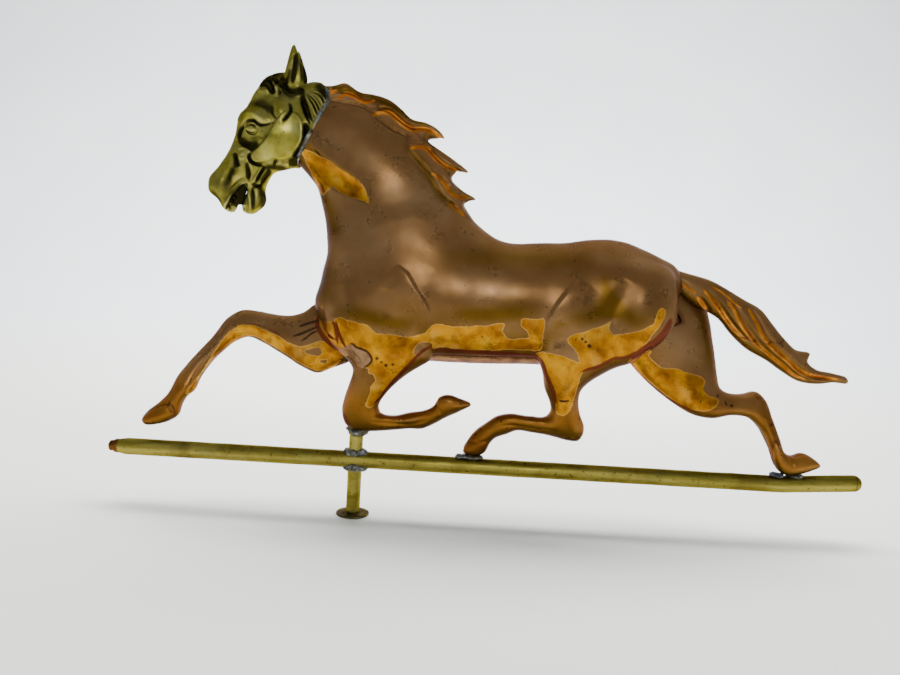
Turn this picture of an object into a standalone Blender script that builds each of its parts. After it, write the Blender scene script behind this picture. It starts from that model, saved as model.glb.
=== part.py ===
"""Weather vane: a hollow copper trotting horse on a brass perch tube, turning on a steel spindle.

Frame: metres, +Z up the spindle, origin under the base disc, +X towards the tail,
the horse's left side faces -Y.  Outlines are written in millimetres as (x, z).
"""
import math

import bmesh
import bpy
import numpy as np
import openvdb

MM = 0.001
GAP = 0.35            # clearance between touching pieces
BEAD = 1.5            # radius of the solder bead round the neck
COLLAR_ROOM = 3.4     # from the bead's line to the cut edge of head and neck
CELL = 4.0            # grid cell of the formed sheet pieces
SHEET = 1.3           # copper sheet
CASTING = 2.6         # wall of the cast head

DISC_RADIUS, DISC_THICK = 19.05, 2.0
SPINDLE_RADIUS, SPINDLE_TOP = 4.8, 82.0
BALL_RADIUS = 3.0
POST_RADIUS, POST_BORE, POST_TOP = 7.95, 6.5, 95.0
BUSH_LENGTH = 14.0
CUP_HEIGHT = 8.0
PERCH_RADIUS, PERCH_BORE, PERCH_AXIS = 9.525, 7.9, 64.0
PERCH_FRONT, PERCH_BEND, PERCH_REAR = -272.0, 492.0, 574.0
BEND_RISE = math.radians(4.0)

WALL_GAP = 0.3        # play of the post in the perch's cross holes
NOSE_LENGTH, NOSE_TAPER = 10.0, 1.4
PLUG_DEPTH, CAP_DOME = 8.0, 9.0

LEG_SPREAD = 24.0     # leg centre planes from the middle plane, at the belly
LEG_FOOT, LEG_ROOT = 78.0, 200.0
BELLY_LEVEL = 180.0   # where the near legs' inner halves meet the belly pan
ROD_TOP = PERCH_AXIS + PERCH_RADIUS

# Roundness of each form, and widths of the fillets where forms meet
TORSO_ROUND, NECK_ROUND, LEG_ROUND, MANE_ROUND, TAIL_ROUND = 30, 17, 12, 8, 7
HEAD_ROUND, EAR_ROUND, EAR_SPREAD = 13, 3.5, 11.0
NECK_FILLET, LEG_FILLET, LOCK_FILLET, HEAD_FILLET = 22, 5, 2, 8
MANE_LIFT = 3.0       # how far the locks stand proud of the neck

HORSE_FACES, TAIL_FACES, HEAD_FACES, LUMP_FACES, PAD_FACES = 2600, 500, 900, 140, 120

TORSO = [(118, 336), (131, 330), (145, 325), (162, 321.5), (200, 324), (222, 325.5), (250, 330.5),
         (272, 332), (290, 330), (310, 323.5), (331, 315), (350, 305), (358, 288), (352, 262),
         (340, 236), (324, 212), (307, 194), (285, 188), (240, 186), (190, 186), (150, 184),
         (100, 183), (60, 183), (20, 185), (-8, 190), (-32, 203), (-47, 222), (-54, 246),
         (-49, 262), (-41, 280), (-37, 298), (-34, 318), (-10, 345), (40, 362), (90, 352)]
NECK = [(-92, 404), (-77, 392), (-66, 381), (-57, 370), (-52, 355), (-46, 333), (-40, 314),
        (-37, 297), (-40, 278), (-20, 255), (30, 245), (90, 258), (130, 290), (130, 325),
        (119, 341), (108, 360), (94, 383), (78, 405), (58, 427), (32, 448), (0, 463),
        (-34, 474), (-62, 479), (-86, 476), (-100, 455), (-104, 425)]
MANE = [(-78, 478), (-60, 482), (-45, 483), (-31, 487), (-14, 478), (5, 475.5), (19, 471), (34, 461),
        (45, 452), (61, 449), (75, 442), (84, 431), (74, 432), (64, 430), (78, 420), (94, 410),
        (112, 396), (98, 396.5), (93, 390), (104, 378), (122, 367), (114, 365), (108, 361),
        (116, 349), (120, 341), (108, 346.5), (91, 362), (81, 371), (68, 391), (57, 401),
        (43, 416), (41, 428), (24, 436), (6, 447), (-6, 457), (-30, 461), (-52, 464), (-74, 468)]
FORELEG_LEFT = [(-14, 184), (-28, 196), (-36, 214), (-36, 239), (-27, 262), (-11, 283), (12, 296),
                (34, 297), (52, 285), (67, 263), (76, 243), (79, 224), (81, 203), (81, 186), (71, 179),
                (57, 169), (41, 154), (30, 140), (25, 129), (27, 122), (37, 119), (61, 124), (80, 129),
                (87, 134), (92, 144), (101, 148), (117, 144), (130, 138), (118, 129), (102, 120),
                (88, 111), (76, 105), (60, 104), (33, 100), (10, 97.5), (-5, 99), (-14, 107),
                (-17, 119), (-14, 138), (-9, 154), (-5, 172)]
HINDLEG_LEFT = [(228, 278), (214, 261), (205, 246), (201, 227), (199, 209), (201, 192), (206, 178),
                (209, 162), (217, 145), (219, 136), (215, 129), (199, 128), (171, 129), (158, 125),
                (148, 117), (135, 106), (126, 92), (123, 80), (131, 76.5), (141, 77), (150, 82),
                (154, 92), (160, 99), (172, 104), (182, 109), (200, 108), (223, 105), (243, 101),
                (254, 101), (259, 109), (259, 120), (253, 133), (249, 149), (250, 161), (259, 172),
                (271, 181), (286, 190), (302, 196), (317, 208), (333, 222), (343, 237), (347, 256),
                (346, 280), (340, 297), (310, 307), (275, 307), (246, 296)]
FORELEG_RIGHT = [(-33, 231), (-58, 240), (-71, 230), (-85, 225), (-106, 225), (-128, 228),
                 (-144, 228), (-158, 220), (-177, 195), (-200, 167), (-214, 146), (-221, 128),
                 (-229, 118), (-242, 106), (-248, 96), (-244, 91), (-231, 91), (-215, 96),
                 (-206, 103), (-203, 116), (-199, 124), (-192, 130), (-187, 145), (-177, 163),
                 (-163, 179), (-148, 191), (-134, 196), (-119, 191), (-93, 178), (-67, 164),
                 (-50, 159), (-36, 165), (-13, 175), (7, 198), (-3, 224)]
HINDLEG_RIGHT = [(355, 302), (379, 291), (393, 272), (402, 249), (408, 225), (413, 201), (416, 183),
                 (420, 169), (431, 164), (446, 164), (463, 168), (472, 160), (480, 138), (488, 115),
                 (493, 102), (501, 98), (513, 102), (525, 98), (535, 88), (524, 82), (513, 77.5),
                 (489, 77.5), (482, 86), (474, 108), (465, 126), (452, 137), (435, 139), (408, 134),
                 (387, 137), (365, 148), (336, 169), (315, 190), (296, 213), (292, 249), (308, 291),
                 (331, 304)]
TAIL = [(340, 308), (355, 302), (370, 298.5), (392, 293), (410, 284.5), (430, 274), (450, 264),
        (465, 248), (480, 232), (494, 220.5), (511, 217), (508, 208), (517, 200.5), (540, 196),
        (556, 190.5), (557, 186), (540, 185), (520, 182), (500, 184), (483, 192.5), (463, 205),
        (437, 218), (418, 234), (403, 250), (392, 256), (378, 262), (362, 272), (348, 284)]
HEAD = [(-82, 477), (-96, 494), (-110, 492), (-122, 485), (-129, 470), (-139, 452), (-148, 440),
        (-151, 423), (-157, 406), (-168, 388), (-179, 372), (-178, 360), (-168, 351), (-160, 340),
        (-150, 338), (-146, 346), (-139, 366), (-136, 366), (-141, 346), (-139, 339), (-129, 337),
        (-117, 350), (-115, 368), (-106, 385), (-88, 392), (-72, 400), (-58, 416), (-42, 440),
        (-34, 464), (-50, 482), (-66, 485)]
EAR = [(-95, 478), (-94, 502), (-87, 522), (-81, 508), (-76, 489), (-80, 474)]


# ---------------------------------------------------------------- forms from outlines

def smooth_loop(points, spacing=6.0):
    """A closed curve through the points, with tangents that suit uneven spacing."""
    knots = np.array(points, float)
    ahead = np.roll(knots, -1, axis=0)
    chord = np.linalg.norm(ahead - knots, axis=1)[:, None]
    before = np.roll(chord, 1, axis=0)
    slope = (ahead - knots) / chord
    tangent = (slope * before + np.roll(slope, 1, axis=0) * chord) / (before + chord)
    loop = []
    for i, length in enumerate(chord[:, 0]):
        here, there = knots[i], ahead[i]
        out, into = tangent[i], tangent[(i + 1) % len(knots)]
        steps = max(1, round(length / spacing))
        for t in np.arange(steps) / steps:
            loop.append((2 * t**3 - 3 * t**2 + 1) * here + (3 * t**2 - 2 * t**3) * there
                        + (t**3 - 2 * t**2 + t) * length * out + (t**3 - t**2) * length * into)
    return np.array(loop)


def depth_in(points, x, z):
    """Smooth depth inside a closed outline: positive inside, zero on it, negative outside."""
    loop = smooth_loop(points)
    turn = np.zeros(np.broadcast(x, z).shape)
    pull = np.zeros_like(turn)
    for (ax, az), (bx, bz) in zip(loop, np.roll(loop, -1, axis=0)):
        cross = (ax - x) * (bz - z) - (az - z) * (bx - x)
        dot = (ax - x) * (bx - x) + (az - z) * (bz - z)
        angle = np.arctan2(cross, dot)
        turn += angle
        flat = np.abs(cross) < 1e-6
        ratio = np.where(flat, 1 / np.maximum(dot, 1e-6), angle / np.where(flat, 1, cross))
        pull += ratio * math.hypot(bx - ax, bz - az)
    return np.where(np.abs(turn) > math.pi, math.pi, -math.pi) / pull


def smoothstep(value, low, high):
    t = np.clip((value - low) / (high - low), 0, 1)
    return t * t * (3 - 2 * t)


def blend(a, b, width):
    """Union of two distance fields with a fillet of the given width."""
    h = np.clip(0.5 + 0.5 * (b - a) / width, 0, 1)
    return b * (1 - h) + a * h - width * h * (1 - h)


class Block:
    """A grid of points, in millimetres, on which forms are added up."""

    def __init__(self, low, high, cell):
        self.low, self.cell = np.array(low, float), cell
        counts = [int((b - a) / cell) + 1 for a, b in zip(low, high)]
        self.x, self.y, self.z = (a + cell * np.arange(n) for a, n in zip(low, counts))
        self.flat_x, self.flat_z = self.x[:, None], self.z[None, :]

    def depth(self, outline):
        return depth_in(outline, self.flat_x, self.flat_z)

    def form(self, depth, roundness, centre=0.0):
        """A rounded form: half thickness is the root of roundness times half width."""
        rise_x, rise_z = np.gradient(depth, self.cell)
        edge = roundness**2 * (rise_x**2 + rise_z**2)
        off = self.y[None, :, None] - np.broadcast_to(centre, depth.shape)[:, None, :]
        section = off**2 - 2 * roundness * depth[:, None, :]
        return section / (2 * np.sqrt(off**2 + edge[:, None, :]) + 1)

    def mesh(self, field, faces_wanted):
        """The closed surface of a field, as a bmesh in millimetres."""
        grid = openvdb.FloatGrid()
        grid.copyFromArray(np.ascontiguousarray(field, dtype=np.float32))
        points, triangles, quads = grid.convertToPolygons(isovalue=0.0, adaptivity=0.0)
        data = bpy.data.meshes.new("form")
        data.from_pydata((points * self.cell + self.low).tolist(), [], triangles.tolist() + quads.tolist())
        return simplified(data, faces_wanted)


def simplified(data, faces_wanted):
    """Triangles reduced to the wanted number, as a bmesh."""
    carrier = bpy.data.objects.new("carrier", data)
    bpy.context.scene.collection.objects.link(carrier)
    carrier.modifiers.new("triangles", "TRIANGULATE")
    reduce = carrier.modifiers.new("reduce", "DECIMATE")
    reduce.ratio = min(1.0, faces_wanted / (2 * len(data.polygons)))
    form = bmesh.new()
    form.from_object(carrier, bpy.context.evaluated_depsgraph_get())
    bpy.data.objects.remove(carrier)
    bmesh.ops.recalc_face_normals(form, faces=form.faces)
    return form


# ---------------------------------------------------------------- cutting formed pieces

def leg_spread(z):
    """How far the legs stand from the middle plane: nothing at the foot, all of it at the belly."""
    return LEG_SPREAD * smoothstep(z, LEG_FOOT, LEG_ROOT)


def left_seam(x, z):
    """Height of the left seam from the middle plane, at one point of the side view."""
    return -leg_spread(z) * (1 - smoothstep(z, 205, 245))


def right_seam(x, z):
    """Height of the right seam, which runs above the far legs' roots."""
    top = 205 + 60 * smoothstep(-x, 50, 62) + 60 * smoothstep(x, 320, 350)
    return leg_spread(z) * (1 - smoothstep(z - top, 0, 40))


def middle_plane(x, z):
    return 0.0


def far_leg_limit(x, z):
    """The left seam above the belly, and out of the way below it."""
    return left_seam(x, z) - 90 * smoothstep(-z, -192, -184)


def foreleg_root(y, z):
    """Where the far foreleg's inner half meets the belly pan, as x over z."""
    return -50 + 32 * smoothstep(-z, -215, -175)


def hindleg_root(y, z):
    """Where the far hind leg's inner half meets the belly pan, as x over z."""
    return 314 - 14 * smoothstep(-z, -205, -180)


def collar(y, z):
    """Where the cast head ends, as x over z."""
    heights = (290, 330, 396, 412, 432, 451, 462, 470, 482, 500)
    places = (-400, -92, -80, -69, -58, -49.5, -45, -46, -56, -66)
    return np.interp(z, heights, places)


def cut(form, axis, place, keep, clearance=GAP / 2):
    """Keep one side of a curved cut: axis 1 cuts at y = place(x, z), 0 at x = place(y, z)."""
    def shift(sign):
        for v in form.verts:
            other = v.co.x if axis == 1 else v.co.y
            v.co[axis] += sign * float(place(other, v.co.z))
    shift(-1)
    normal = [0, 0, 0]
    normal[axis] = keep
    spot = [0, 0, 0]
    spot[axis] = keep * clearance
    bmesh.ops.bisect_plane(form, geom=form.verts[:] + form.edges[:] + form.faces[:],
                           plane_co=spot, plane_no=normal, clear_inner=True)
    shift(1)


def cut_level(form, height, keep):
    bmesh.ops.bisect_plane(form, geom=form.verts[:] + form.edges[:] + form.faces[:],
                           plane_co=(0, 0, height + keep * GAP / 2), plane_no=(0, 0, keep),
                           clear_inner=True)


def keep_part_near(form, spot):
    """Drop every loose part but the one with the vertex nearest to the spot."""
    start = min(form.verts, key=lambda v: sum((a - b)**2 for a, b in zip(v.co, spot)))
    kept, front = {start}, [start]
    while front:
        vertex = front.pop()
        for edge in vertex.link_edges:
            other = edge.other_vert(vertex)
            if other not in kept:
                kept.add(other)
                front.append(other)
    bmesh.ops.delete(form, geom=[v for v in form.verts if v not in kept], context="VERTS")


def thicken(form, thickness):
    """Sheet of even thickness grown inwards; the rims stay in their cut surfaces."""
    bmesh.ops.triangulate(form, faces=form.faces)
    bmesh.ops.dissolve_degenerate(form, edges=form.edges, dist=0.05)
    bmesh.ops.triangulate(form, faces=form.faces)
    form.normal_update()
    data = bpy.data.meshes.new("sheet")
    form.to_mesh(data)
    carrier = bpy.data.objects.new("sheet", data)
    bpy.context.scene.collection.objects.link(carrier)
    solid = carrier.modifiers.new("sheet", "SOLIDIFY")
    solid.thickness, solid.offset = thickness, -1
    thick = bmesh.new()
    thick.from_object(carrier, bpy.context.evaluated_depsgraph_get())
    bpy.data.objects.remove(carrier)
    return thick


def hold_side(form, axis, place, keep, clearance=GAP / 2):
    """Press any vertex that strays over a cut surface back onto it."""
    for v in form.verts:
        other = v.co.x if axis == 1 else v.co.y
        limit = float(place(other, v.co.z)) + keep * clearance
        v.co[axis] = max(v.co[axis], limit) if keep > 0 else min(v.co[axis], limit)


# ---------------------------------------------------------------- objects and materials

def material(name, colour, roughness, metallic=1.0):
    made = bpy.data.materials.get(name) or bpy.data.materials.new(name)
    made.use_nodes = True
    shader = made.node_tree.nodes["Principled BSDF"]
    shader.inputs["Base Color"].default_value = (*colour, 1)
    shader.inputs["Roughness"].default_value = roughness
    shader.inputs["Metallic"].default_value = metallic
    return made


def copper():
    return material("patinated_copper", (0.33, 0.16, 0.06), 0.32)


def antique_brass():
    return material("antique_brass", (0.45, 0.32, 0.10), 0.38)


def tube_brass():
    return material("tube_brass", (0.42, 0.36, 0.12), 0.36)


def solder():
    return material("solder", (0.35, 0.36, 0.37), 0.5)


def steel():
    return material("steel", (0.5, 0.5, 0.5), 0.35)


def bronze():
    return material("dull_bronze", (0.16, 0.13, 0.08), 0.5)


def pad_grey():
    return material("pad_grey", (0.06, 0.06, 0.07), 0.6, 0.3)


def add_object(name, form, finish):
    """Put a bmesh in millimetres in the vane's collection as a named piece."""
    bmesh.ops.scale(form, vec=(MM, MM, MM), verts=form.verts)
    bmesh.ops.recalc_face_normals(form, faces=form.faces)
    data = bpy.data.meshes.new(name)
    form.to_mesh(data)
    form.free()
    data.shade_smooth()
    data.set_sharp_from_angle(angle=math.radians(35))
    data.materials.append(finish)
    piece = bpy.data.objects.new(name, data)
    bpy.data.collections["weather_vane"].objects.link(piece)
    return piece


def turned(name, profile, finish, sides):
    """A turned piece: a closed profile of (radius, height) points swept about Z by Screw."""
    data = bpy.data.meshes.new(name)
    count = len(profile)
    edges = [(i, (i + 1) % count) for i in range(count)]
    if profile[0][0] == 0 and profile[-1][0] == 0:
        edges.pop()
    data.from_pydata([(r * MM, 0, h * MM) for r, h in profile], edges, [])
    data.materials.append(finish)
    piece = bpy.data.objects.new(name, data)
    bpy.data.collections["weather_vane"].objects.link(piece)
    screw = piece.modifiers.new("turn", "SCREW")
    screw.steps = screw.render_steps = sides
    screw.use_merge_vertices = True
    screw.merge_threshold = 0.00001
    return piece


def applied(piece):
    """Replace the piece's mesh by its evaluated one, without modifiers."""
    data = bpy.data.meshes.new_from_object(piece.evaluated_get(bpy.context.evaluated_depsgraph_get()))
    piece.modifiers.clear()
    piece.data = data
    return piece


# ---------------------------------------------------------------- the horse

def horse_field(block):
    spread = leg_spread(block.flat_z)
    mane = block.depth(MANE)
    torso = block.form(block.depth(TORSO), TORSO_ROUND)
    neck = block.form(block.depth(NECK), NECK_ROUND)
    neck -= (MANE_LIFT * smoothstep(mane, 0, 4))[:, None, :]
    field = blend(torso, neck, NECK_FILLET)
    field = blend(field, block.form(mane, MANE_ROUND), LOCK_FILLET)
    for outline, side in ((FORELEG_LEFT, -1), (FORELEG_RIGHT, 1), (HINDLEG_LEFT, -1), (HINDLEG_RIGHT, 1)):
        leg = block.form(block.depth(outline), LEG_ROUND, side * spread)
        field = blend(field, leg, LEG_FILLET)
    return field


def make_horse():
    block = Block((-262, -72, 66), (548, 72, 500), CELL)
    field = horse_field(block)
    whole = block.mesh(field, HORSE_FACES)
    for name, seam, side in (("body_shell_left", left_seam, -1), ("body_shell_right", right_seam, 1)):
        shell = whole.copy()
        cut(shell, 1, seam, side)
        cut(shell, 0, collar, 1, COLLAR_ROOM)
        keep_part_near(shell, (100, 45 * side, 260))
        shell = thicken(shell, SHEET)
        hold_side(shell, 1, seam, side)
        add_object(name, shell, copper())
    make_inner_halves(whole)
    make_neck_solder(whole)
    make_tail(field, block)


def make_inner_halves(whole):
    for name, spot in (("foreleg_left_inner", (0, 0, 112)), ("hindleg_left_inner", (240, 0, 115))):
        leg = whole.copy()
        cut(leg, 1, left_seam, 1)
        cut_level(leg, BELLY_LEVEL, -1)
        keep_part_near(leg, spot)
        leg = thicken(leg, SHEET)
        hold_side(leg, 1, left_seam, 1)
        add_object(name, leg, copper())

    for name, root, side, spot in (("foreleg_right_inner", foreleg_root, -1, (-200, 0, 140)),
                                   ("hindleg_right_inner", hindleg_root, 1, (420, 0, 150))):
        leg = whole.copy()
        cut(leg, 1, right_seam, -1)
        cut(leg, 0, root, side)
        keep_part_near(leg, spot)
        cut(leg, 1, far_leg_limit, 1)
        keep_part_near(leg, spot)
        leg = thicken(leg, SHEET)
        hold_side(leg, 1, right_seam, -1)
        hold_side(leg, 1, far_leg_limit, 1)
        hold_side(leg, 0, root, side)
        add_object(name, leg, copper())

    pan = whole.copy()
    cut(pan, 1, left_seam, 1)
    cut(pan, 1, right_seam, -1)
    cut(pan, 0, foreleg_root, 1)
    cut(pan, 0, hindleg_root, -1)
    cut_level(pan, BELLY_LEVEL, 1)
    keep_part_near(pan, (140, 0, 184))
    pan = thicken(pan, SHEET)
    hold_side(pan, 1, left_seam, 1)
    hold_side(pan, 1, right_seam, -1)
    hold_side(pan, 0, foreleg_root, 1)
    hold_side(pan, 0, hindleg_root, -1)
    add_object("belly_pan", pan, copper())


def make_neck_solder(whole):
    """The solder bead round the neck, run along the section where head and neck meet."""
    section = whole.copy()
    cut(section, 0, collar, 1, 0)
    rim = [v for v in section.verts if v.is_boundary and v.co.z > 385 and v.co.x < -30]
    middle = (sum(v.co.y for v in rim) / len(rim), sum(v.co.z for v in rim) / len(rim))
    rim.sort(key=lambda v: math.atan2(v.co.z - middle[1], v.co.y - middle[0]))
    loop = smooth_ring(np.array([v.co[:] for v in rim]), 36)
    section.free()
    add_ring("neck_solder", loop, BEAD, solder())


def smooth_ring(points, count):
    """Evenly spaced points round a ring, eased over their neighbours."""
    closed = np.vstack([points, points[:1]])
    along = np.concatenate([[0], np.cumsum(np.linalg.norm(np.diff(closed, axis=0), axis=1))])
    where = np.linspace(0, along[-1], count, endpoint=False)
    ring = np.stack([np.interp(where, along, closed[:, i]) for i in range(3)], axis=1)
    for _ in range(3):
        ring = 0.5 * ring + 0.25 * (np.roll(ring, 1, axis=0) + np.roll(ring, -1, axis=0))
    ring[:, 0] = collar(ring[:, 1], ring[:, 2])
    return ring


def add_ring(name, path, radius, finish):
    """A round bead along a closed path, as a bevelled curve."""
    curve = bpy.data.curves.new(name, "CURVE")
    curve.dimensions = "3D"
    curve.bevel_depth = radius * MM
    curve.bevel_resolution = 2
    spline = curve.splines.new("POLY")
    spline.points.add(len(path) - 1)
    for point, spot in zip(spline.points, path):
        point.co = (*(c * MM for c in spot), 1)
    spline.use_cyclic_u = True
    curve.materials.append(finish)
    piece = bpy.data.objects.new(name, curve)
    bpy.data.collections["weather_vane"].objects.link(piece)
    return piece


def make_tail(field, block):
    """Two half shells of the tail, ending where they meet the croup."""
    tail = block.form(block.depth(TAIL), TAIL_ROUND)
    tail = np.maximum(tail, 1.2 - field)
    whole = block.mesh(tail, TAIL_FACES)
    for name, side in (("tail_left", -1), ("tail_right", 1)):
        half = whole.copy()
        cut(half, 1, middle_plane, side)
        keep_part_near(half, (450, 8 * side, 235))
        half = thicken(half, SHEET)
        hold_side(half, 1, middle_plane, side)
        add_object(name, half, copper())


def make_head():
    """The cast head: jaws, cheeks and ears in one hollow casting, open at the neck."""
    block = Block((-190, -44, 328), (-20, 44, 530), 3.0)
    head = block.form(block.depth(HEAD), HEAD_ROUND)
    cheek = ellipsoid(block, (-102, 0, 428), (32, 32, 38))
    brow = ellipsoid(block, (-118, 0, 450), (30, 26, 38))
    head = blend(blend(head, cheek, HEAD_FILLET), brow, HEAD_FILLET)
    neck = block.form(block.depth(NECK), NECK_ROUND)
    head = blend(head, neck - 1.0, 10)
    ear_depth = block.depth(EAR)
    for side in (-1, 1):
        head = blend(head, block.form(ear_depth, EAR_ROUND, side * EAR_SPREAD), 4)
    whole = block.mesh(head, HEAD_FACES)
    cut(whole, 0, collar, -1, COLLAR_ROOM)
    keep_part_near(whole, (-150, 0, 420))
    whole = thicken(whole, CASTING)
    hold_side(whole, 0, collar, -1, COLLAR_ROOM)
    add_object("head", whole, antique_brass())


def ellipsoid(block, centre, radii):
    parts = [(axis - c) / r for axis, c, r in zip((block.x, block.y, block.z), centre, radii)]
    reach = np.sqrt(parts[0][:, None, None]**2 + parts[1][None, :, None]**2 + parts[2][None, None, :]**2)
    return (reach - 1) * min(radii)


# ---------------------------------------------------------------- perch, post and bearing

def make_bearing():
    turned("base_disc", [(0, DISC_THICK), (DISC_RADIUS, DISC_THICK), (DISC_RADIUS, 0), (0, 0)], bronze(), 48)
    turned("spindle_rod", [(0, SPINDLE_TOP), (SPINDLE_RADIUS - 1, SPINDLE_TOP),
                           (SPINDLE_RADIUS, SPINDLE_TOP - 1), (SPINDLE_RADIUS, DISC_THICK + GAP),
                           (0, DISC_THICK + GAP)], steel(), 24)
    turned("thrust_ball", ball_profile(BALL_RADIUS, SPINDLE_TOP + GAP + BALL_RADIUS, 8), steel(), 16)
    cup_floor = SPINDLE_TOP + 2 * GAP + 2 * BALL_RADIUS
    cup_radius = POST_BORE - GAP
    turned("bearing_cup", [(0, POST_TOP), (cup_radius, POST_TOP), (cup_radius, POST_TOP - CUP_HEIGHT),
                           (BALL_RADIUS + 1.2, POST_TOP - CUP_HEIGHT), (BALL_RADIUS + 1.2, cup_floor),
                           (0, cup_floor)], tube_brass(), 24)
    low = DISC_THICK + 1.0
    turned("post_tube", [(POST_RADIUS, POST_TOP), (POST_RADIUS, low), (POST_BORE, low),
                         (POST_BORE, POST_TOP)], tube_brass(), 32)
    bore = SPINDLE_RADIUS + GAP
    outer = POST_BORE - GAP
    turned("lower_bush", [(outer, low + BUSH_LENGTH), (outer, low), (bore, low),
                          (bore, low + BUSH_LENGTH)], tube_brass(), 24)


def ball_profile(radius, height, steps):
    angles = [math.pi / 2 - math.pi * i / steps for i in range(steps + 1)]
    points = [(radius * math.cos(a), height + radius * math.sin(a)) for a in angles]
    points[0] = (0, height + radius)
    points[-1] = (0, height - radius)
    return points


def lathe_on_perch(name, profile, finish, sides=28):
    """A turned piece whose axis lies along the perch: profile heights run along +X."""
    piece = applied(turned(name, profile, finish, sides))
    form = bmesh.new()
    form.from_mesh(piece.data)
    for v in form.verts:
        x, height = v.co.z, v.co.x
        v.co = (x, v.co.y, PERCH_AXIS * MM - height)
    raise_bend(form)
    bmesh.ops.recalc_face_normals(form, faces=form.faces)
    form.to_mesh(piece.data)
    form.free()
    piece.data.shade_smooth()
    piece.data.set_sharp_from_angle(angle=math.radians(35))
    return piece


def raise_bend(form):
    """The rear end of the perch is bent up slightly: shear past the bend."""
    for v in form.verts:
        past = v.co.x - PERCH_BEND * MM
        if past > 0:
            v.co.z += past * math.tan(BEND_RISE)


def make_perch():
    tube = lathe_on_perch("perch_tube", [
        (PERCH_RADIUS, PERCH_REAR), (PERCH_RADIUS, PERCH_BEND + 6), (PERCH_RADIUS, PERCH_BEND),
        (PERCH_RADIUS, PERCH_FRONT + NOSE_LENGTH), (PERCH_RADIUS - NOSE_TAPER, PERCH_FRONT),
        (PERCH_BORE - NOSE_TAPER, PERCH_FRONT), (PERCH_BORE, PERCH_FRONT + NOSE_LENGTH),
        (PERCH_BORE, PERCH_BEND),
        (PERCH_BORE, PERCH_BEND + 6), (PERCH_BORE, PERCH_REAR)], tube_brass())
    drill_for_post(tube)
    plug = PERCH_BORE - NOSE_TAPER - GAP
    lathe_on_perch("perch_plug_front", [
        (0, PERCH_FRONT + PLUG_DEPTH), (plug, PERCH_FRONT + PLUG_DEPTH), (plug, PERCH_FRONT - GAP),
        (7.9, PERCH_FRONT - GAP), (7.6, PERCH_FRONT - 5), (6.2, PERCH_FRONT - 5.5),
        (5.8, PERCH_FRONT - 10.5), (4.6, PERCH_FRONT - 11.5), (0, PERCH_FRONT - 11.5)], copper())
    rear_plug = PERCH_BORE - GAP
    seat = PERCH_REAR + GAP
    dome = [(PERCH_RADIUS * math.cos(a), seat + CAP_DOME * math.sin(a))
            for a in (math.pi / 2 * i / 6 for i in range(6, -1, -1))]
    dome[0] = (0, seat + CAP_DOME)
    lathe_on_perch("perch_cap_rear", dome + [(rear_plug, seat), (rear_plug, PERCH_REAR - PLUG_DEPTH),
                                             (0, PERCH_REAR - PLUG_DEPTH)], tube_brass())


def drill_for_post(tube):
    """Cross holes in the perch tube for the post."""
    bpy.ops.mesh.primitive_cylinder_add(vertices=32, radius=(POST_RADIUS + WALL_GAP) * MM, depth=0.05,
                                        location=(0, 0, PERCH_AXIS * MM))
    drill = bpy.context.object
    drill.name = "post_drill"
    drill.hide_render = True
    drill.display_type = "WIRE"
    for home in drill.users_collection:
        home.objects.unlink(drill)
    bpy.data.collections["cutters"].objects.link(drill)
    hole = tube.modifiers.new("post_holes", "BOOLEAN")
    hole.operation = "DIFFERENCE"
    hole.object = drill


# ---------------------------------------------------------------- solder and pad

def make_post_solder():
    """Fillets where the post passes through the perch, lying on the round of the tube."""
    inner = POST_RADIUS + WALL_GAP
    rings = ((inner, GAP), (POST_RADIUS + 6.0, GAP), (POST_RADIUS + 3.4, 1.9), (POST_RADIUS + 1.4, 4.0),
             (inner, 6.2))
    steps, widest = 32, 8.9
    for name, side in (("solder_post_top", 1), ("solder_post_bottom", -1)):
        form = bmesh.new()
        loops = []
        for radius, lift in rings:
            loop = []
            for i in range(steps):
                a = 2 * math.pi * i / steps
                x, y = radius * math.cos(a), min(radius, widest) * math.sin(a)
                drop = math.sqrt(PERCH_RADIUS**2 - y**2)
                loop.append(form.verts.new((x, y, PERCH_AXIS + side * (drop + lift))))
            loops.append(loop)
        for low, high in zip(loops, loops[1:] + loops[:1]):
            for i in range(steps):
                j = (i + 1) % steps
                form.faces.new((low[i], low[j], high[j], high[i]))
        bmesh.ops.triangulate(form, faces=form.faces)
        add_object(name, form, solder())


def make_lump(name, centre, radii, finish, faces):
    """A lump of solder shaped by what it sits between: legs above, perch or post below."""
    low = [c - r - 3 for c, r in zip(centre, radii)]
    high = [c + r + 3 for c, r in zip(centre, radii)]
    block = Block(low, high, 1.0)
    lump = ellipsoid(block, centre, radii)
    lump = np.maximum(lump, 0.8 - horse_field(block))
    lump = np.maximum(lump, 0.5 - perch_field(block))
    lump = np.maximum(lump, 0.5 - post_field(block))
    form = block.mesh(lump, faces)
    keep_largest(form)
    add_object(name, form, finish)


def perch_field(block):
    """Distance to the perch, its bent rear end included."""
    y, z = block.y[None, :, None], block.z[None, None, :]
    rise = np.maximum(block.x - PERCH_BEND, 0)[:, None, None] * math.tan(BEND_RISE)
    return np.sqrt(y**2 + (z - PERCH_AXIS - rise)**2) - PERCH_RADIUS


def post_field(block):
    """Distance to the post below its top."""
    x, y = block.x[:, None, None], block.y[None, :, None]
    z = block.z[None, None, :]
    return np.maximum(np.sqrt(x**2 + y**2) - POST_RADIUS, z - POST_TOP)


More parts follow.
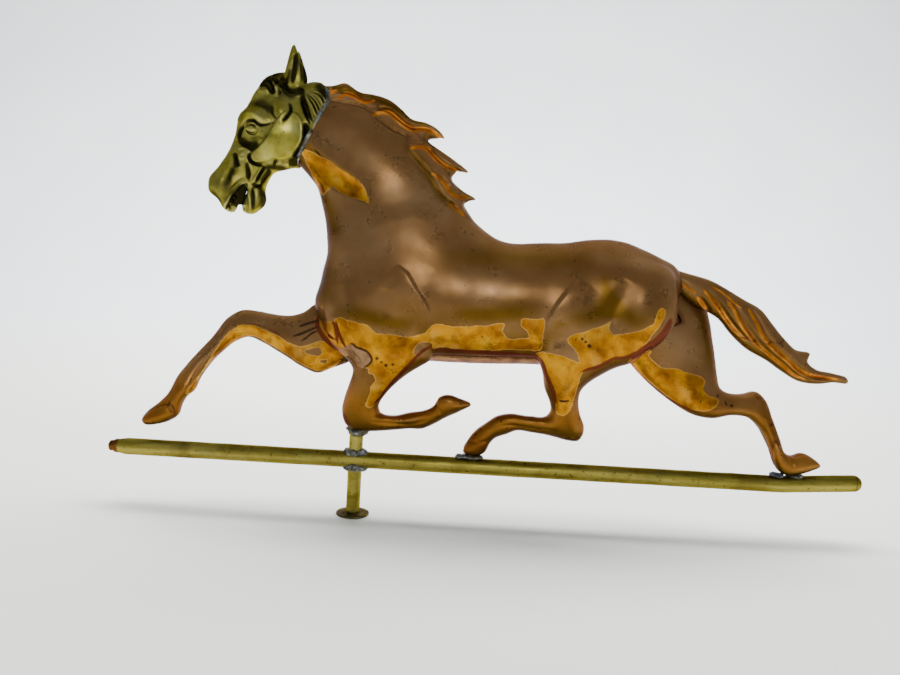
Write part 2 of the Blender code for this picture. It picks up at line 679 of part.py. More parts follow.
def keep_largest(form):
    """Drop crumbs left by shaping: keep the part with the highest vertex count."""
    seen, best = set(), []
    for start in form.verts:
        if start in seen:
            continue
        part, front = [start], [start]
        seen.add(start)
        while front:
            vertex = front.pop()
            for edge in vertex.link_edges:
                other = edge.other_vert(vertex)
                if other not in seen:
                    seen.add(other)
                    part.append(other)
                    front.append(other)
        best = max(best, part, key=len)
    best = set(best)
    bmesh.ops.delete(form, geom=[v for v in form.verts if v not in best], context="VERTS")


def make_joining_lumps():
    make_lump("solder_knee", (2, 0, 97.5), (14, 12, 5.5), solder(), LUMP_FACES)
    make_lump("solder_hoof_left", (131, 0, ROD_TOP + 2), (15, 8.5, 4.2), solder(), LUMP_FACES)
    make_lump("solder_hoof_right", (505.5, 0, ROD_TOP + 2.4), (10.5, 9, 4.2), solder(), LUMP_FACES)
    make_lump("hoof_pad", (486, 0, ROD_TOP + 2.0), (7.5, 9, 3), pad_grey(), PAD_FACES)


def collection(name):
    made = bpy.data.collections.get(name) or bpy.data.collections.new(name)
    if made.name not in bpy.context.scene.collection.children:
        bpy.context.scene.collection.children.link(made)
    return made


def main():
    for old in list(bpy.data.objects):
        bpy.data.objects.remove(old, do_unlink=True)
    collection("weather_vane")
    collection("cutters")
    make_bearing()
    make_perch()
    make_post_solder()
    make_joining_lumps()
    make_horse()
    make_head()


main()
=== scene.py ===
import math

import bmesh
import bpy
import numpy as np
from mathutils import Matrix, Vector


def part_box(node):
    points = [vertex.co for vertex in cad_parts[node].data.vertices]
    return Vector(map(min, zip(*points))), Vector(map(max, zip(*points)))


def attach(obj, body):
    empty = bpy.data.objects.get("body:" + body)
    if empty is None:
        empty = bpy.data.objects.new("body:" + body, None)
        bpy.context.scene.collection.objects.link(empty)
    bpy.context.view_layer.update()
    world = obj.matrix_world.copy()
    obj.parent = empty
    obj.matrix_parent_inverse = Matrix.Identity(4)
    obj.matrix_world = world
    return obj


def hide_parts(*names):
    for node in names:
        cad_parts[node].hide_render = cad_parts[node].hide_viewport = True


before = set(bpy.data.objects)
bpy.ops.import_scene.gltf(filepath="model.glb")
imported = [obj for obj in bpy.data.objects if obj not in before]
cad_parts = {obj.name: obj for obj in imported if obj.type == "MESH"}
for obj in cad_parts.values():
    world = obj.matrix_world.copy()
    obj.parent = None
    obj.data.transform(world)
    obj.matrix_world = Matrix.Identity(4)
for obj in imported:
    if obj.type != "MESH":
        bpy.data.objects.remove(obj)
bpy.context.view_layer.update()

import openvdb
from mathutils import Matrix, Vector

# The vane's frame: +Z up the spindle, +X towards the tail, the horse's left side faces -Y.
# Outlines and marks are (x, z) points in millimetres on the middle plane, as they look
# from VIEWPOINT; forms are built in millimetres and scaled to metres at the end.

MM = 0.001
CAMERA_PLACE = (100.985, -767.867, 264.743)
VIEWPOINT = tuple(round(c, 1) for c in CAMERA_PLACE)

BODY_CELL = 1.5
HEAD_CELL = 0.8
TAIL_CELL = 1.1
SOLDER_CELL = 0.5

PATCH_REACH = 20.0
SHEET, CASTING = 1.3, 2.6
PERCH_WALL, POST_WALL = 1.6, 1.4
CLEARANCE = 0.12
COLLAR_LAP = 1.0

# A form's half thickness is the root of its roundness times its half width.
TORSO_ROUND, NECK_ROUND, MANE_ROUND, LEG_ROUND, TAIL_ROUND = 30, 17, 8, 12, 7
HEAD_ROUND, EAR_ROUND = 13, 3.5

# The legs part from the middle plane between these heights; the belly starts at BELLY_LEVEL.
# The seams follow the legs' middles up to SEAM_BEND and are on the middle plane SEAM_EASE higher.
LEG_SPREAD = 24.0
HOOF_LEVEL, BODY_LEVEL = 78, 200
BELLY_LEVEL = 180.0
SEAM_BEND, SEAM_EASE = 205, 40
EAR_SPREAD = 11.0

perch_low, perch_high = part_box("perch_tube")
post_low, post_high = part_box("post_tube")
disc_low, disc_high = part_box("base_disc")
POST_RADIUS = (post_high[0] - post_low[0]) / 2 / MM
POST_TOP = post_high[2] / MM
POST_FOOT = post_low[2] / MM
PERCH_RADIUS = (perch_high[1] - perch_low[1]) / 2 / MM
PERCH_AXIS = perch_low[2] / MM + PERCH_RADIUS
PERCH_FRONT, PERCH_REAR = perch_low[0] / MM, perch_high[0] / MM
rod_low, rod_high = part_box("spindle_rod")
SPINDLE_RADIUS = (rod_high[0] - rod_low[0]) / 2 / MM
DISC_RADIUS = (disc_high[0] - disc_low[0]) / 2 / MM
DISC_THICKNESS = (disc_high[2] - disc_low[2]) / MM
PERCH_BEND = 492.0
BEND_RISE = math.radians(4.0)
PERCH_TOP = PERCH_AXIS + PERCH_RADIUS

TORSO = [(118, 336), (131, 330), (145, 325), (162, 321.5), (200, 324), (222, 325.5), (250, 330.5),
         (272, 332), (290, 330), (310, 323.5), (331, 315), (350, 305), (358, 288), (352, 262),
         (340, 236), (324, 212), (307, 194), (285, 188), (240, 186), (190, 186), (150, 184),
         (100, 183), (60, 183), (20, 185), (-8, 190), (-32, 203), (-47, 222), (-54, 246),
         (-49, 262), (-41, 280), (-37, 298), (-34, 318), (-10, 345), (40, 362), (90, 352)]
NECK = [(-92, 404), (-77, 392), (-66, 381), (-57, 370), (-52, 355), (-46, 333), (-40, 314),
        (-37, 297), (-40, 278), (-20, 255), (30, 245), (90, 258), (130, 290), (130, 325),
        (119, 341), (108, 360), (94, 383), (78, 405), (58, 427), (32, 448), (0, 463),
        (-34, 474), (-62, 479), (-86, 476), (-100, 455), (-104, 425)]
MANE = [(-78, 478), (-60, 482), (-45, 483), (-31, 487), (-14, 478), (5, 475.5), (19, 471), (34, 461),
        (45, 452), (61, 449), (75, 442), (84, 431), (74, 432), (64, 430), (78, 420), (94, 410),
        (112, 396), (98, 396.5), (93, 390), (104, 378), (122, 367), (114, 365), (108, 361),
        (116, 349), (120, 341), (108, 346.5), (91, 362), (81, 371), (68, 391), (57, 401),
        (43, 416), (41, 428), (24, 436), (6, 447), (-6, 457), (-30, 461), (-52, 464), (-74, 468)]
FORELEG_LEFT = [(-14, 184), (-28, 196), (-36, 214), (-36, 239), (-27, 262), (-11, 283), (12, 296),
                (34, 297), (52, 285), (67, 263), (76, 243), (79, 224), (81, 203), (81, 186), (71, 179),
                (57, 169), (41, 154), (30, 140), (25, 129), (27, 122), (37, 119), (61, 124), (80, 129),
                (87, 134), (92, 144), (101, 148), (117, 144), (130, 138), (118, 129), (102, 120),
                (88, 111), (76, 105), (60, 104), (33, 100), (10, 97.5), (-5, 99), (-14, 107),
                (-17, 119), (-14, 138), (-9, 154), (-5, 172)]
HINDLEG_LEFT = [(228, 278), (214, 261), (205, 246), (201, 227), (199, 209), (201, 192), (206, 178),
                (209, 162), (217, 145), (219, 136), (215, 129), (199, 128), (171, 129), (158, 125),
                (148, 117), (135, 106), (126, 92), (123, 80), (131, 76.5), (141, 77), (150, 82),
                (154, 92), (160, 99), (172, 104), (182, 109), (200, 108), (223, 105), (243, 101),
                (254, 101), (259, 109), (259, 120), (253, 133), (249, 149), (250, 161), (259, 172),
                (271, 181), (286, 190), (302, 196), (317, 208), (333, 222), (343, 237), (347, 256),
                (346, 280), (340, 297), (310, 307), (275, 307), (246, 296)]
FORELEG_RIGHT = [(-33, 231), (-58, 240), (-71, 230), (-85, 225), (-106, 225), (-128, 228),
                 (-144, 228), (-158, 220), (-177, 195), (-200, 167), (-214, 146), (-221, 128),
                 (-229, 118), (-242, 106), (-248, 96), (-244, 91), (-231, 91), (-215, 96),
                 (-206, 103), (-203, 116), (-199, 124), (-192, 130), (-187, 145), (-177, 163),
                 (-163, 179), (-148, 191), (-134, 196), (-119, 191), (-93, 178), (-67, 164),
                 (-50, 159), (-36, 165), (-13, 175), (7, 198), (-3, 224)]
HINDLEG_RIGHT = [(355, 302), (379, 291), (393, 272), (402, 249), (408, 225), (413, 201), (416, 183),
                 (420, 169), (431, 164), (446, 164), (463, 168), (472, 160), (480, 138), (488, 115),
                 (493, 102), (501, 98), (513, 102), (525, 98), (535, 88), (524, 82), (513, 77.5),
                 (489, 77.5), (482, 86), (474, 108), (465, 126), (452, 137), (435, 139), (408, 134),
                 (387, 137), (365, 148), (336, 169), (315, 190), (296, 213), (292, 249), (308, 291),
                 (331, 304)]
TAIL = [(340, 308), (355, 302), (370, 298.5), (392, 293), (410, 284.5), (430, 274), (450, 264),
        (465, 248), (480, 232), (494, 220.5), (511, 217), (508, 208), (517, 200.5), (540, 196),
        (556, 190.5), (557, 186), (540, 185), (520, 182), (500, 184), (483, 192.5), (463, 205),
        (437, 218), (418, 234), (403, 250), (392, 256), (378, 262), (362, 272), (348, 284)]
HEAD = [(-82, 477), (-96, 494), (-110, 492), (-122, 485), (-129, 470), (-139, 452), (-148, 440),
        (-151, 423), (-157, 406), (-168, 388), (-179, 372), (-178, 360), (-168, 351), (-160, 340),
        (-150, 338), (-146, 346), (-139, 366), (-136, 366), (-141, 346), (-139, 339), (-129, 337),
        (-117, 350), (-115, 368), (-106, 385), (-88, 392), (-72, 400), (-58, 416), (-42, 440),
        (-34, 464), (-50, 482), (-66, 485)]
EAR = [(-95, 478), (-94, 502), (-87, 522), (-81, 508), (-76, 489), (-80, 474)]
COLLAR = [(-400, 290), (-92, 330), (-80, 396), (-69, 412), (-58, 432), (-49.5, 451), (-45, 462),
          (-46, 470), (-56, 482), (-66, 500)]

# Grooves: (points, half width, depth)
MANE_GROOVES = [
    ([(-60, 477), (-50, 475.5), (-41, 478.5)], 3.2, 3.0),
    ([(-39, 470), (-29, 475), (-22, 474), (-15, 469.5), (-8, 467.5), (2, 470)], 3.0, 3.0),
    ([(1, 453.5), (9, 457), (19.5, 457), (27.5, 451.5), (36, 445), (45, 441), (60, 441.5), (71, 438),
      (81, 432.5)], 3.6, 3.4),
    ([(44, 420), (54.5, 422), (62.5, 420.5), (71, 412.5), (79, 406), (88, 401), (100, 398.5)], 3.2, 3.2),
    ([(70, 394), (76, 391), (84, 384), (91, 375), (99, 369.5), (112, 370)], 2.8, 3.0),
    ([(91, 361), (100, 356), (109, 348.5)], 2.2, 2.4),
]
TAIL_GROOVES = [
    ([(378, 273), (386, 264), (392, 258)], 3.0, 2.6),
    ([(385, 281), (394, 272), (404, 261), (413, 250), (424, 238), (436, 228)], 3.4, 2.8),
    ([(413, 270), (420, 262), (427, 251), (434, 241), (443, 231), (452, 222), (464, 214)], 3.4, 2.8),
    ([(437, 263), (442, 256), (448, 247), (455, 235), (463, 226), (474, 217), (487, 207), (498, 198),
      (512, 192), (530, 190), (545, 189)], 3.6, 2.6),
    ([(446, 226), (458, 218), (470, 209), (482, 201), (494, 192), (508, 187)], 2.6, 2.0),
    ([(356, 290), (366, 283), (376, 277)], 1.6, 1.2),
    ([(392, 287), (405, 280), (418, 271), (428, 264)], 1.6, 1.2),
]
JUGULAR = [(-66, 413), (-49, 403), (-35, 395), (-22, 388), (-10, 380), (-3, 371), (1, 355),
           (-8, 358), (-21, 361), (-33, 366), (-44, 372), (-58, 384), (-72, 398)]

# Relief of the cast head.  Strokes: (points, width, height); domes: (centre, radii, turn, height).
CHEEK = [(-103, 446), (-109, 439), (-113, 430), (-118, 421.5), (-127, 412), (-133.5, 405), (-134.5, 399.5),
         (-130.5, 395.2), (-123, 393.8), (-116, 396), (-108, 400.8), (-98.5, 401.3), (-89, 404.8),
         (-81, 412), (-76.5, 421), (-74.8, 430), (-76, 441), (-82, 450), (-92, 453)]
MOUTH = [(-134.5, 370), (-138, 369.5), (-143, 364.5), (-149, 357.5), (-154, 348.5), (-158, 340), (-155, 335),
         (-146, 335), (-140.5, 344), (-139, 352), (-137, 362)]
MOUTH_BACK = [(-136, 370), (-144, 366), (-150, 353), (-147, 346.5), (-141, 347), (-138.5, 358)]
HEAD_DOMES = [
    ((-133.5, 431.2), (6.2, 4.2), 0, 2.4),
    ((-134, 444), (15, 9), 8, 1.6),
    ((-101.5, 455), (9, 8.5), 0, 4.4),
    ((-101.5, 444.5), (5, 7), 0, 1.4),
    ((-137, 412), (9, 5), -25, -2.8),
    ((-130, 420), (7, 7), 0, -1.0),
    ((-143.5, 403), (3.2, 2.8), 0, 1.4),
    ((-136.5, 397), (2.6, 2.6), 0, 1.0),
    ((-171, 367), (8, 12), -20, 1.8),
    ((-146, 381), (8, 9), 0, 1.4),
    ((-150.3, 354.5), (1.9, 3.0), 35, 3.6),
    ((-153.9, 347.8), (2.0, 3.0), 30, 3.8),
    ((-156.6, 341.5), (1.8, 2.6), 20, 3.4),
    ((-137.6, 346), (1.6, 2.4), 10, 2.8),
    ((-136.8, 340.8), (1.5, 2.0), 10, 2.6),
    ((-123, 354), (7, 11), 10, 2.6),
    ((-105, 396.5), (4, 2.6), 0, -1.4),
    ((-107, 476), (3.4, 3.6), 0, 1.8),
    ((-119, 473.5), (6, 3.6), 10, 1.4),
]
HEAD_STROKES = [
    ([(-146.5, 429), (-143, 436), (-137.5, 440.8), (-131, 440.6), (-126, 437), (-119, 436.6), (-109, 440)],
     1.2, -2.2),
    ([(-141.5, 431.5), (-138.5, 436.4), (-134, 438.2), (-129, 437.2), (-125, 433.6)], 1.3, 1.9),
    ([(-141, 430.5), (-137, 426.3), (-131.5, 425.2), (-126, 428.5)], 1.2, 1.4),
    ([(-139.6, 432), (-136.2, 435), (-131.3, 435), (-127.4, 432.4)], 0.8, -1.3),
    ([(-139.4, 429.8), (-134.4, 427.3), (-128.8, 428.8)], 0.8, -1.1),
    ([(-142, 434.5), (-145.5, 428), (-147.2, 420)], 1.3, -2.0),
    ([(-148.5, 437), (-142.5, 445.5), (-134, 449.5), (-126, 446.5), (-118.5, 441.8), (-111.5, 442.5)],
     4.2, 2.6),
    ([(-138, 457), (-128, 459.5), (-117, 455), (-112, 447.5)], 5.0, -1.8),
    ([(-92, 462), (-91, 453.5), (-94.5, 446.5), (-99, 441)], 1.6, -2.4),
    ([(-112.5, 457), (-110.5, 448.5), (-105, 442)], 1.6, -1.1),
    ([(-74.5, 442), (-73, 432), (-73.3, 422), (-77, 411.5), (-85, 402)], 2.5, -4.6),
    ([(-70, 441), (-66.4, 433), (-66.6, 424)], 1.6, 1.5),
    ([(-135.2, 405.5), (-135, 398.5), (-129, 393), (-120, 391.8)], 1.5, -2.4),
    ([(-125, 393.6), (-116, 396.6), (-107.5, 401.4), (-98, 401.4), (-89, 404.8), (-80.5, 412)], 1.0, 0.8),
    ([(-148, 408), (-141, 410), (-134.5, 406)], 1.4, 1.5),
    ([(-147.5, 402), (-143.5, 398), (-138.5, 401)], 1.3, 1.0),
    ([(-139.5, 403.5), (-134.5, 393), (-130, 386)], 1.6, 1.4),
    ([(-136, 389.5), (-134, 381), (-135.8, 373.5)], 1.4, -2.0),
    ([(-151.6, 404), (-149.8, 396.5), (-147, 388.5)], 1.5, -2.2),
    ([(-149, 416), (-154, 402), (-160, 389.5), (-165.5, 377)], 3.2, 1.8),
    ([(-151, 389), (-156, 378), (-158, 366)], 4.6, -1.6),
    ([(-133, 371.2), (-139, 372.6), (-145.3, 367.8), (-151.4, 360), (-157.3, 351), (-161.8, 340.5)],
     1.6, 2.2),
    ([(-136.5, 377), (-143.5, 374), (-150.5, 367.4), (-157.5, 358.5)], 1.6, -1.2),
    ([(-134.8, 371), (-134, 361.5), (-132.4, 351.5), (-131, 339.5)], 1.4, 2.0),
    ([(-130.4, 369), (-129.8, 358), (-128.4, 346)], 1.4, -1.7),
    ([(-129, 368.4), (-122.5, 369), (-117, 373.5)], 1.4, -1.6),
    ([(-130, 372.5), (-126, 380.5), (-120.5, 391.5)], 1.3, 1.7),
    ([(-127, 371), (-122, 380), (-116.5, 389.5)], 1.2, -2.0),
    ([(-123.8, 369), (-118.8, 377.5), (-113, 387)], 1.2, 1.3),
    ([(-120, 369), (-115, 378), (-108.5, 385.5)], 1.6, -2.0),
    ([(-88, 515), (-88.8, 500), (-91, 485)], 2.0, -3.4),
    ([(-91.2, 509), (-94.2, 493), (-94.8, 482)], 1.1, 1.0),
    ([(-84.6, 506), (-82.4, 493), (-82, 483)], 1.4, 1.0),
    ([(-99.5, 484), (-97, 477.5), (-91, 474.2), (-84, 475), (-78.5, 479)], 1.9, -3.0),
    ([(-99, 476), (-93, 471.4), (-86, 470.6), (-80, 473)], 1.5, 1.6),
    ([(-112, 488), (-107, 482.8), (-102, 480.6), (-97.5, 478.6)], 1.2, -2.2),
    ([(-117, 486), (-112, 479.6), (-109.8, 471.5)], 1.2, -2.2),
    ([(-126.5, 477.6), (-120.5, 479.8), (-116, 476.8), (-112.5, 470.8)], 1.3, -2.2),
    ([(-108.5, 478.5), (-104.3, 475.4), (-103, 470)], 1.0, -1.6),
    ([(-122, 487), (-116, 484.5), (-112, 480)], 1.0, -1.2),
    ([(-114, 488.6), (-107, 486.4), (-100, 483.2)], 1.6, 1.5),
    ([(-114, 484.6), (-110, 479.4), (-107, 472.6)], 1.5, 1.8),
    ([(-122.5, 483), (-117, 480.8), (-112.5, 475)], 1.5, 1.5),
    ([(-129, 474.5), (-123, 472.5), (-116, 473)], 1.8, 1.2),
    ([(-80.5, 471), (-77.5, 460), (-72, 446.5)], 3.0, -1.6),
    ([(-127, 473), (-123, 479), (-119, 486), (-111, 490)], 1.5, 1.5),
    ([(-118, 472), (-116, 479.5), (-111, 486), (-104, 489)], 1.4, 1.6),
    ([(-107.5, 468), (-107, 475), (-104.5, 481), (-99, 486)], 2.0, 2.4),
    ([(-124, 476), (-119, 484), (-112, 488)], 0.9, -1.2),
    ([(-112.5, 470), (-112, 478), (-107, 485)], 1.0, -1.6),
    ([(-150, 410), (-156, 396), (-163, 382)], 1.6, -0.9),
]

# Where the casting is coloured dark, round the eye, lips, ear, forelock and collar: partly its dark
# patina and partly painted shade, chiefly in the open mouth and round the eye: (points, width,
# strength).
HEAD_SHADES = [
    ([(-141.5, 431.5), (-138, 437.8), (-131, 438.8), (-126, 435.2), (-119, 436.2), (-110, 440)], 1.1, 1.3),
    ([(-141, 430), (-136, 425.4), (-130.5, 425), (-126, 428.5)], 1.0, 1.0),
    ([(-143, 434), (-146.5, 427), (-146.5, 419), (-141, 413)], 2.2, 1.2),
    ([(-145, 421), (-138, 413.5), (-131, 412.5), (-125, 417)], 4.0, 1.1),
    ([(-126, 424), (-121, 421), (-116, 428)], 2.2, 0.6),
    ([(-75, 442), (-73.8, 432), (-73.8, 422), (-78, 411.5), (-86, 402)], 2.8, 1.6),
    ([(-92, 395.5), (-82, 399), (-76, 406)], 4.5, 1.4),
    ([(-68, 438), (-66, 425), (-74, 408)], 2.0, 1.1),
    ([(-136, 405), (-134.5, 397), (-128, 392.6), (-119, 391.5)], 1.8, 1.5),
    ([(-151.6, 405), (-149.8, 396.5), (-147, 388)], 2.4, 1.4),
    ([(-148, 394), (-155, 380), (-160, 368), (-160, 356)], 4.5, 0.75),
    ([(-138, 395), (-136.5, 385), (-136, 374)], 2.2, 1.2),
    ([(-131, 372), (-126.5, 368.5), (-119, 369)], 2.4, 1.3),
    ([(-127, 374), (-122, 383), (-117, 391)], 1.6, 1.3),
    ([(-121, 371), (-116, 380), (-110, 387)], 2.6, 1.2),
    ([(-131, 367), (-129, 355), (-128.6, 341)], 2.0, 1.2),
    ([(-122, 367), (-117, 356), (-119, 343)], 4.0, 1.0),
    ([(-178, 362), (-170, 354), (-164, 346)], 2.2, 0.8),
    ([(-150, 344), (-150, 352), (-143, 362), (-137, 368)], 4.5, 1.8),
    ([(-146, 342), (-143, 350), (-139, 362)], 3.0, 1.8),
    ([(-87, 517), (-88, 500), (-90.5, 482)], 2.0, 1.8),
    ([(-82.5, 510), (-80, 494), (-79, 484)], 2.2, 0.9),
    ([(-93.5, 500), (-96, 482)], 1.8, 0.9),
    ([(-101, 487), (-97, 477), (-91, 473.5), (-84, 474.5), (-79, 480)], 2.8, 1.7),
    ([(-105, 485), (-97, 482)], 3.6, 1.6),
    ([(-113, 489), (-106, 483), (-100, 481)], 1.8, 1.4),
    ([(-127, 477.5), (-120, 480.5), (-116, 476.5), (-111, 469.5)], 2.0, 1.4),
    ([(-118, 489), (-113, 480), (-110, 471)], 1.5, 1.2),
    ([(-128, 482), (-116, 491), (-98, 493)], 6.0, 0.8),
    ([(-79, 479), (-77, 465), (-72, 452), (-66, 442)], 2.6, 1.2),
    ([(-66, 485), (-57, 478), (-48, 468)], 5.5, 0.9),
    ([(-112, 468), (-98, 472), (-86, 466)], 5.0, 0.6),
    ([(-130, 464), (-119, 458), (-110, 451)], 4.5, 0.7),
    ([(-93, 463), (-90.5, 453), (-95, 446), (-101, 440.5)], 2.0, 1.1),
    ([(-112, 458), (-110.5, 449), (-106, 443)], 1.6, 0.8),
    ([(-108, 397), (-104, 396)], 2.8, 1.1),
    ([(-120, 391), (-104, 390), (-88, 389)], 3.2, 0.9),
]
HAIR_STROKES = 9

# Relief of the sheet-metal body.  Folds: (points, side, sharp, wide, height).
BODY_FOLDS = [
    ([(-47, 285), (-40, 305), (-22, 322), (-5, 333), (20, 345), (60, 353), (100, 347), (126, 332)],
     -1, 12, 42, 2.2),
    ([(38, 290), (42, 286), (49, 281), (55, 272), (62, 262), (70, 252), (76, 240), (77.5, 225), (77, 206)],
     -1, 1.2, 20, 3.6),
    ([(243, 288), (238, 281), (228, 268), (219, 255), (213, 245), (209, 231), (206, 215), (204.5, 203)],
     1, 1.2, 24, 3.6),
    ([(346, 300), (352, 288), (355, 272), (355.5, 256), (354, 244), (350, 235), (345, 227), (336, 216),
      (322, 205), (308, 197)], -1, 1.4, 14, 2.6),
]
BODY_DOMES = [
    ((-14, 258), (22, 32), 8, 3.0),
    ((34, 262), (26, 36), -12, 2.8),
    ((98, 262), (28, 28), 0, 2.4),
    ((165, 272), (32, 28), 0, 2.0),
    ((240, 252), (20, 28), 0, 1.8),
    ((290, 292), (34, 22), 0, 2.0),
    ((328, 262), (18, 30), 0, 2.4),
    ((-10, 222), (26, 16), 0, 1.0),
    ((20, 410), (34, 24), -35, 1.2),
]
BODY_STROKES = [
    ([(300, 286), (292, 268), (286, 254), (283, 238), (285, 226)], 9.0, -1.5),
    ([(226, 236), (223, 222), (226, 208)], 7.0, -1.4),
    ([(-30, 262), (-24, 240), (-26, 226)], 8.0, -1.2),
    ([(24, 262), (22, 244), (26, 228)], 8.0, -1.4),
    ([(-53, 226), (-50.5, 213), (-44, 204), (-36, 196), (-26, 188)], 1.8, -2.2),
    ([(-49.5, 222), (-44.5, 212), (-38.5, 205), (-31, 199)], 1.2, 1.4),
    ([(-47, 220), (-42, 211), (-36, 205), (-29, 201)], 1.1, -1.4),
    ([(-33, 224), (-30, 214), (-28, 205), (-26.5, 196)], 1.2, -1.6),
    ([(-35, 222), (-32, 212), (-30, 204), (-28.5, 197)], 1.1, 1.1),
    ([(-29, 222), (-26, 211), (-22, 202), (-17, 192)], 1.2, -1.6),
    ([(-31, 222), (-28, 211), (-25, 202), (-21, 194)], 1.1, 1.1),
    ([(-50, 221), (-58, 219), (-66, 216), (-78, 212)], 1.2, -1.6),
    ([(-50, 215), (-60, 210), (-70, 205), (-84, 200)], 1.2, -1.6),
    ([(-50, 210), (-58, 206), (-66, 199), (-74, 195)], 1.1, -1.4),
    ([(-50, 218), (-60, 214.5), (-72, 210.5), (-86, 208)], 1.3, 1.1),
    ([(-50, 212.5), (-59, 208), (-68, 202), (-80, 198)], 1.2, 1.0),
    ([(-96, 212), (-110, 216), (-128, 219), (-144, 219)], 5.0, 1.0),
    ([(-88, 199), (-104, 206), (-122, 210), (-140, 210), (-152, 205)], 1.6, -0.9),
    ([(-150, 205), (-164, 192), (-178, 174), (-192, 150), (-202, 132)], 4.0, 1.2),
    ([(-146, 200), (-158, 189), (-172, 172), (-186, 150)], 1.6, -0.9),
    ([(-224, 121), (-217, 112), (-208, 104)], 1.4, -1.0),
    ([(-7, 168), (-5, 150), (-7, 132), (-5, 114)], 5.0, 1.6),
    ([(4, 168), (6, 150), (7, 132), (11, 117)], 2.4, -1.2),
    ([(18, 113), (40, 113), (62, 114), (80, 121)], 2.4, 1.2),
    ([(14, 109), (40, 108), (62, 108.5), (82, 115)], 1.6, -0.9),
    ([(88, 142), (90, 131), (97, 122)], 1.6, -1.2),
    ([(160, 118), (180, 121), (205, 119), (226, 120)], 3.4, 1.2),
    ([(156, 112), (178, 114), (205, 111.5), (232, 110)], 1.6, -0.9),
    ([(126, 94), (138, 92), (152, 94)], 1.5, -1.1),
    ([(246, 150), (243, 134), (247, 118), (252, 108)], 4.0, 1.3),
    ([(408, 160), (428, 156), (448, 157), (460, 152)], 3.0, 1.2),
    ([(404, 149), (426, 148), (446, 149), (456, 142)], 1.6, -1.0),
    ([(462, 146), (474, 124), (484, 106), (494, 94)], 3.4, 1.2),
    ([(455, 138), (468, 116), (478, 98), (488, 84)], 1.6, -0.9),
    ([(497, 99), (503, 90), (505, 79)], 1.5, -1.1),
    ([(372, 285), (384, 262), (394, 234), (398, 204)], 6.0, 1.2),
]
LOCK_EDGE = [(-74, 468), (-60, 465.5), (-46, 463.5), (-30, 461), (-16, 459.5), (-6, 457), (6, 447),
             (24, 436), (38, 429), (43, 416), (57, 401), (68, 391), (76, 379), (81, 371), (91, 362),
             (108, 346.5)]

# Patina: where the lacquer is gone (bright), what of it is left inside (brown), bare pink
# metal, drawn lines of dark dirt (ink) and dark red oxide (rust); besides these, painted shade
# strokes that darken the colour where the surface should look shaded: (points, width, strength).
BRIGHT_PATCHES = [
    [(-57, 226), (-48, 223), (-33, 222), (-28, 227), (-23, 228), (-19, 225), (-10, 224), (-3, 221.5),
     (3, 221.5), (8, 219), (12, 214.5), (17, 210.3), (24, 211), (40, 211), (47, 209.8), (54, 209),
     (62, 211), (72, 215), (79, 223), (84, 225.5), (100, 224), (115, 225), (140, 227), (163, 229.5),
     (161, 221), (168, 214), (180, 215), (191, 217), (188, 224), (181, 228), (180, 236), (198, 237.5),
     (206, 240), (207, 222), (204.5, 201), (190, 201.5), (150, 199), (120, 197.5), (84, 197.5),
     (62, 182), (40, 158), (22, 131), (14, 124), (8, 126), (10, 134), (13, 142), (12, 149),
     (19, 156), (16, 163), (10, 163.5), (10, 170), (3, 171), (-8, 180), (-24, 186), (-38, 196), (-50, 210)],
    [(233, 217.5), (239, 222), (254, 227), (263, 231), (274.6, 235), (285, 243.5), (281.5, 232),
     (286, 225.5), (297, 227.5), (307, 228.6), (323, 235), (331, 241), (333, 252), (339, 259),
     (344, 256), (341, 244), (330, 225), (314, 205), (300, 199), (282, 194), (268, 186), (256, 180),
     (250, 162), (247, 148), (244, 136), (236, 128), (228, 130), (226, 142), (218, 164), (208, 186),
     (198, 197), (207, 202), (214, 200.5), (232, 197.5), (250, 192), (247, 200), (241, 208)],
    [(306, 197), (316, 206), (333, 209), (331, 203), (338, 196.5), (345, 191), (352, 190), (363, 190.7),
     (372, 187), (390, 183), (398, 178), (394, 169), (401, 162), (414, 157), (408, 147), (388, 143),
     (366, 151), (340, 170)],
    [(-76, 412), (-49, 403), (-35, 395), (-22, 388), (-10, 380), (-3, 371), (1, 356), (-8, 359),
     (-21, 362), (-33, 367), (-41, 372), (-50, 362), (-62, 380)],
    [(-47, 199), (-56, 195), (-66, 191.5), (-76, 190.5), (-87, 194), (-100, 201), (-115, 207),
     (-130, 210.5), (-148, 209), (-158, 201), (-172, 184), (-184, 162), (-194, 140), (-200, 126),
     (-190, 128), (-184, 146), (-174, 165), (-160, 181), (-146, 192), (-132, 197), (-116, 190),
     (-90, 178), (-60, 163), (-46, 161), (-30, 170), (-20, 186), (-34, 194)],
]
BROWN_PATCHES = [
    [(-67, 185), (-60, 187), (-47, 190.5), (-45.5, 184), (-50, 180), (-57, 181), (-63, 182)],
    [(-48, 175), (-40, 176), (-41, 172), (-47, 172)],
    [(60, 190), (66, 202.5), (81, 202), (82, 194), (72, 186)],
]
PINK_PATCHES = [
    [(-27, 190), (-19, 194), (-10, 197), (-5, 193), (0, 192), (6, 190), (11, 185), (13, 180), (11, 176),
     (7, 172.5), (3, 168.5), (-2, 172), (-6, 178), (-13, 183), (-22, 186)],
]
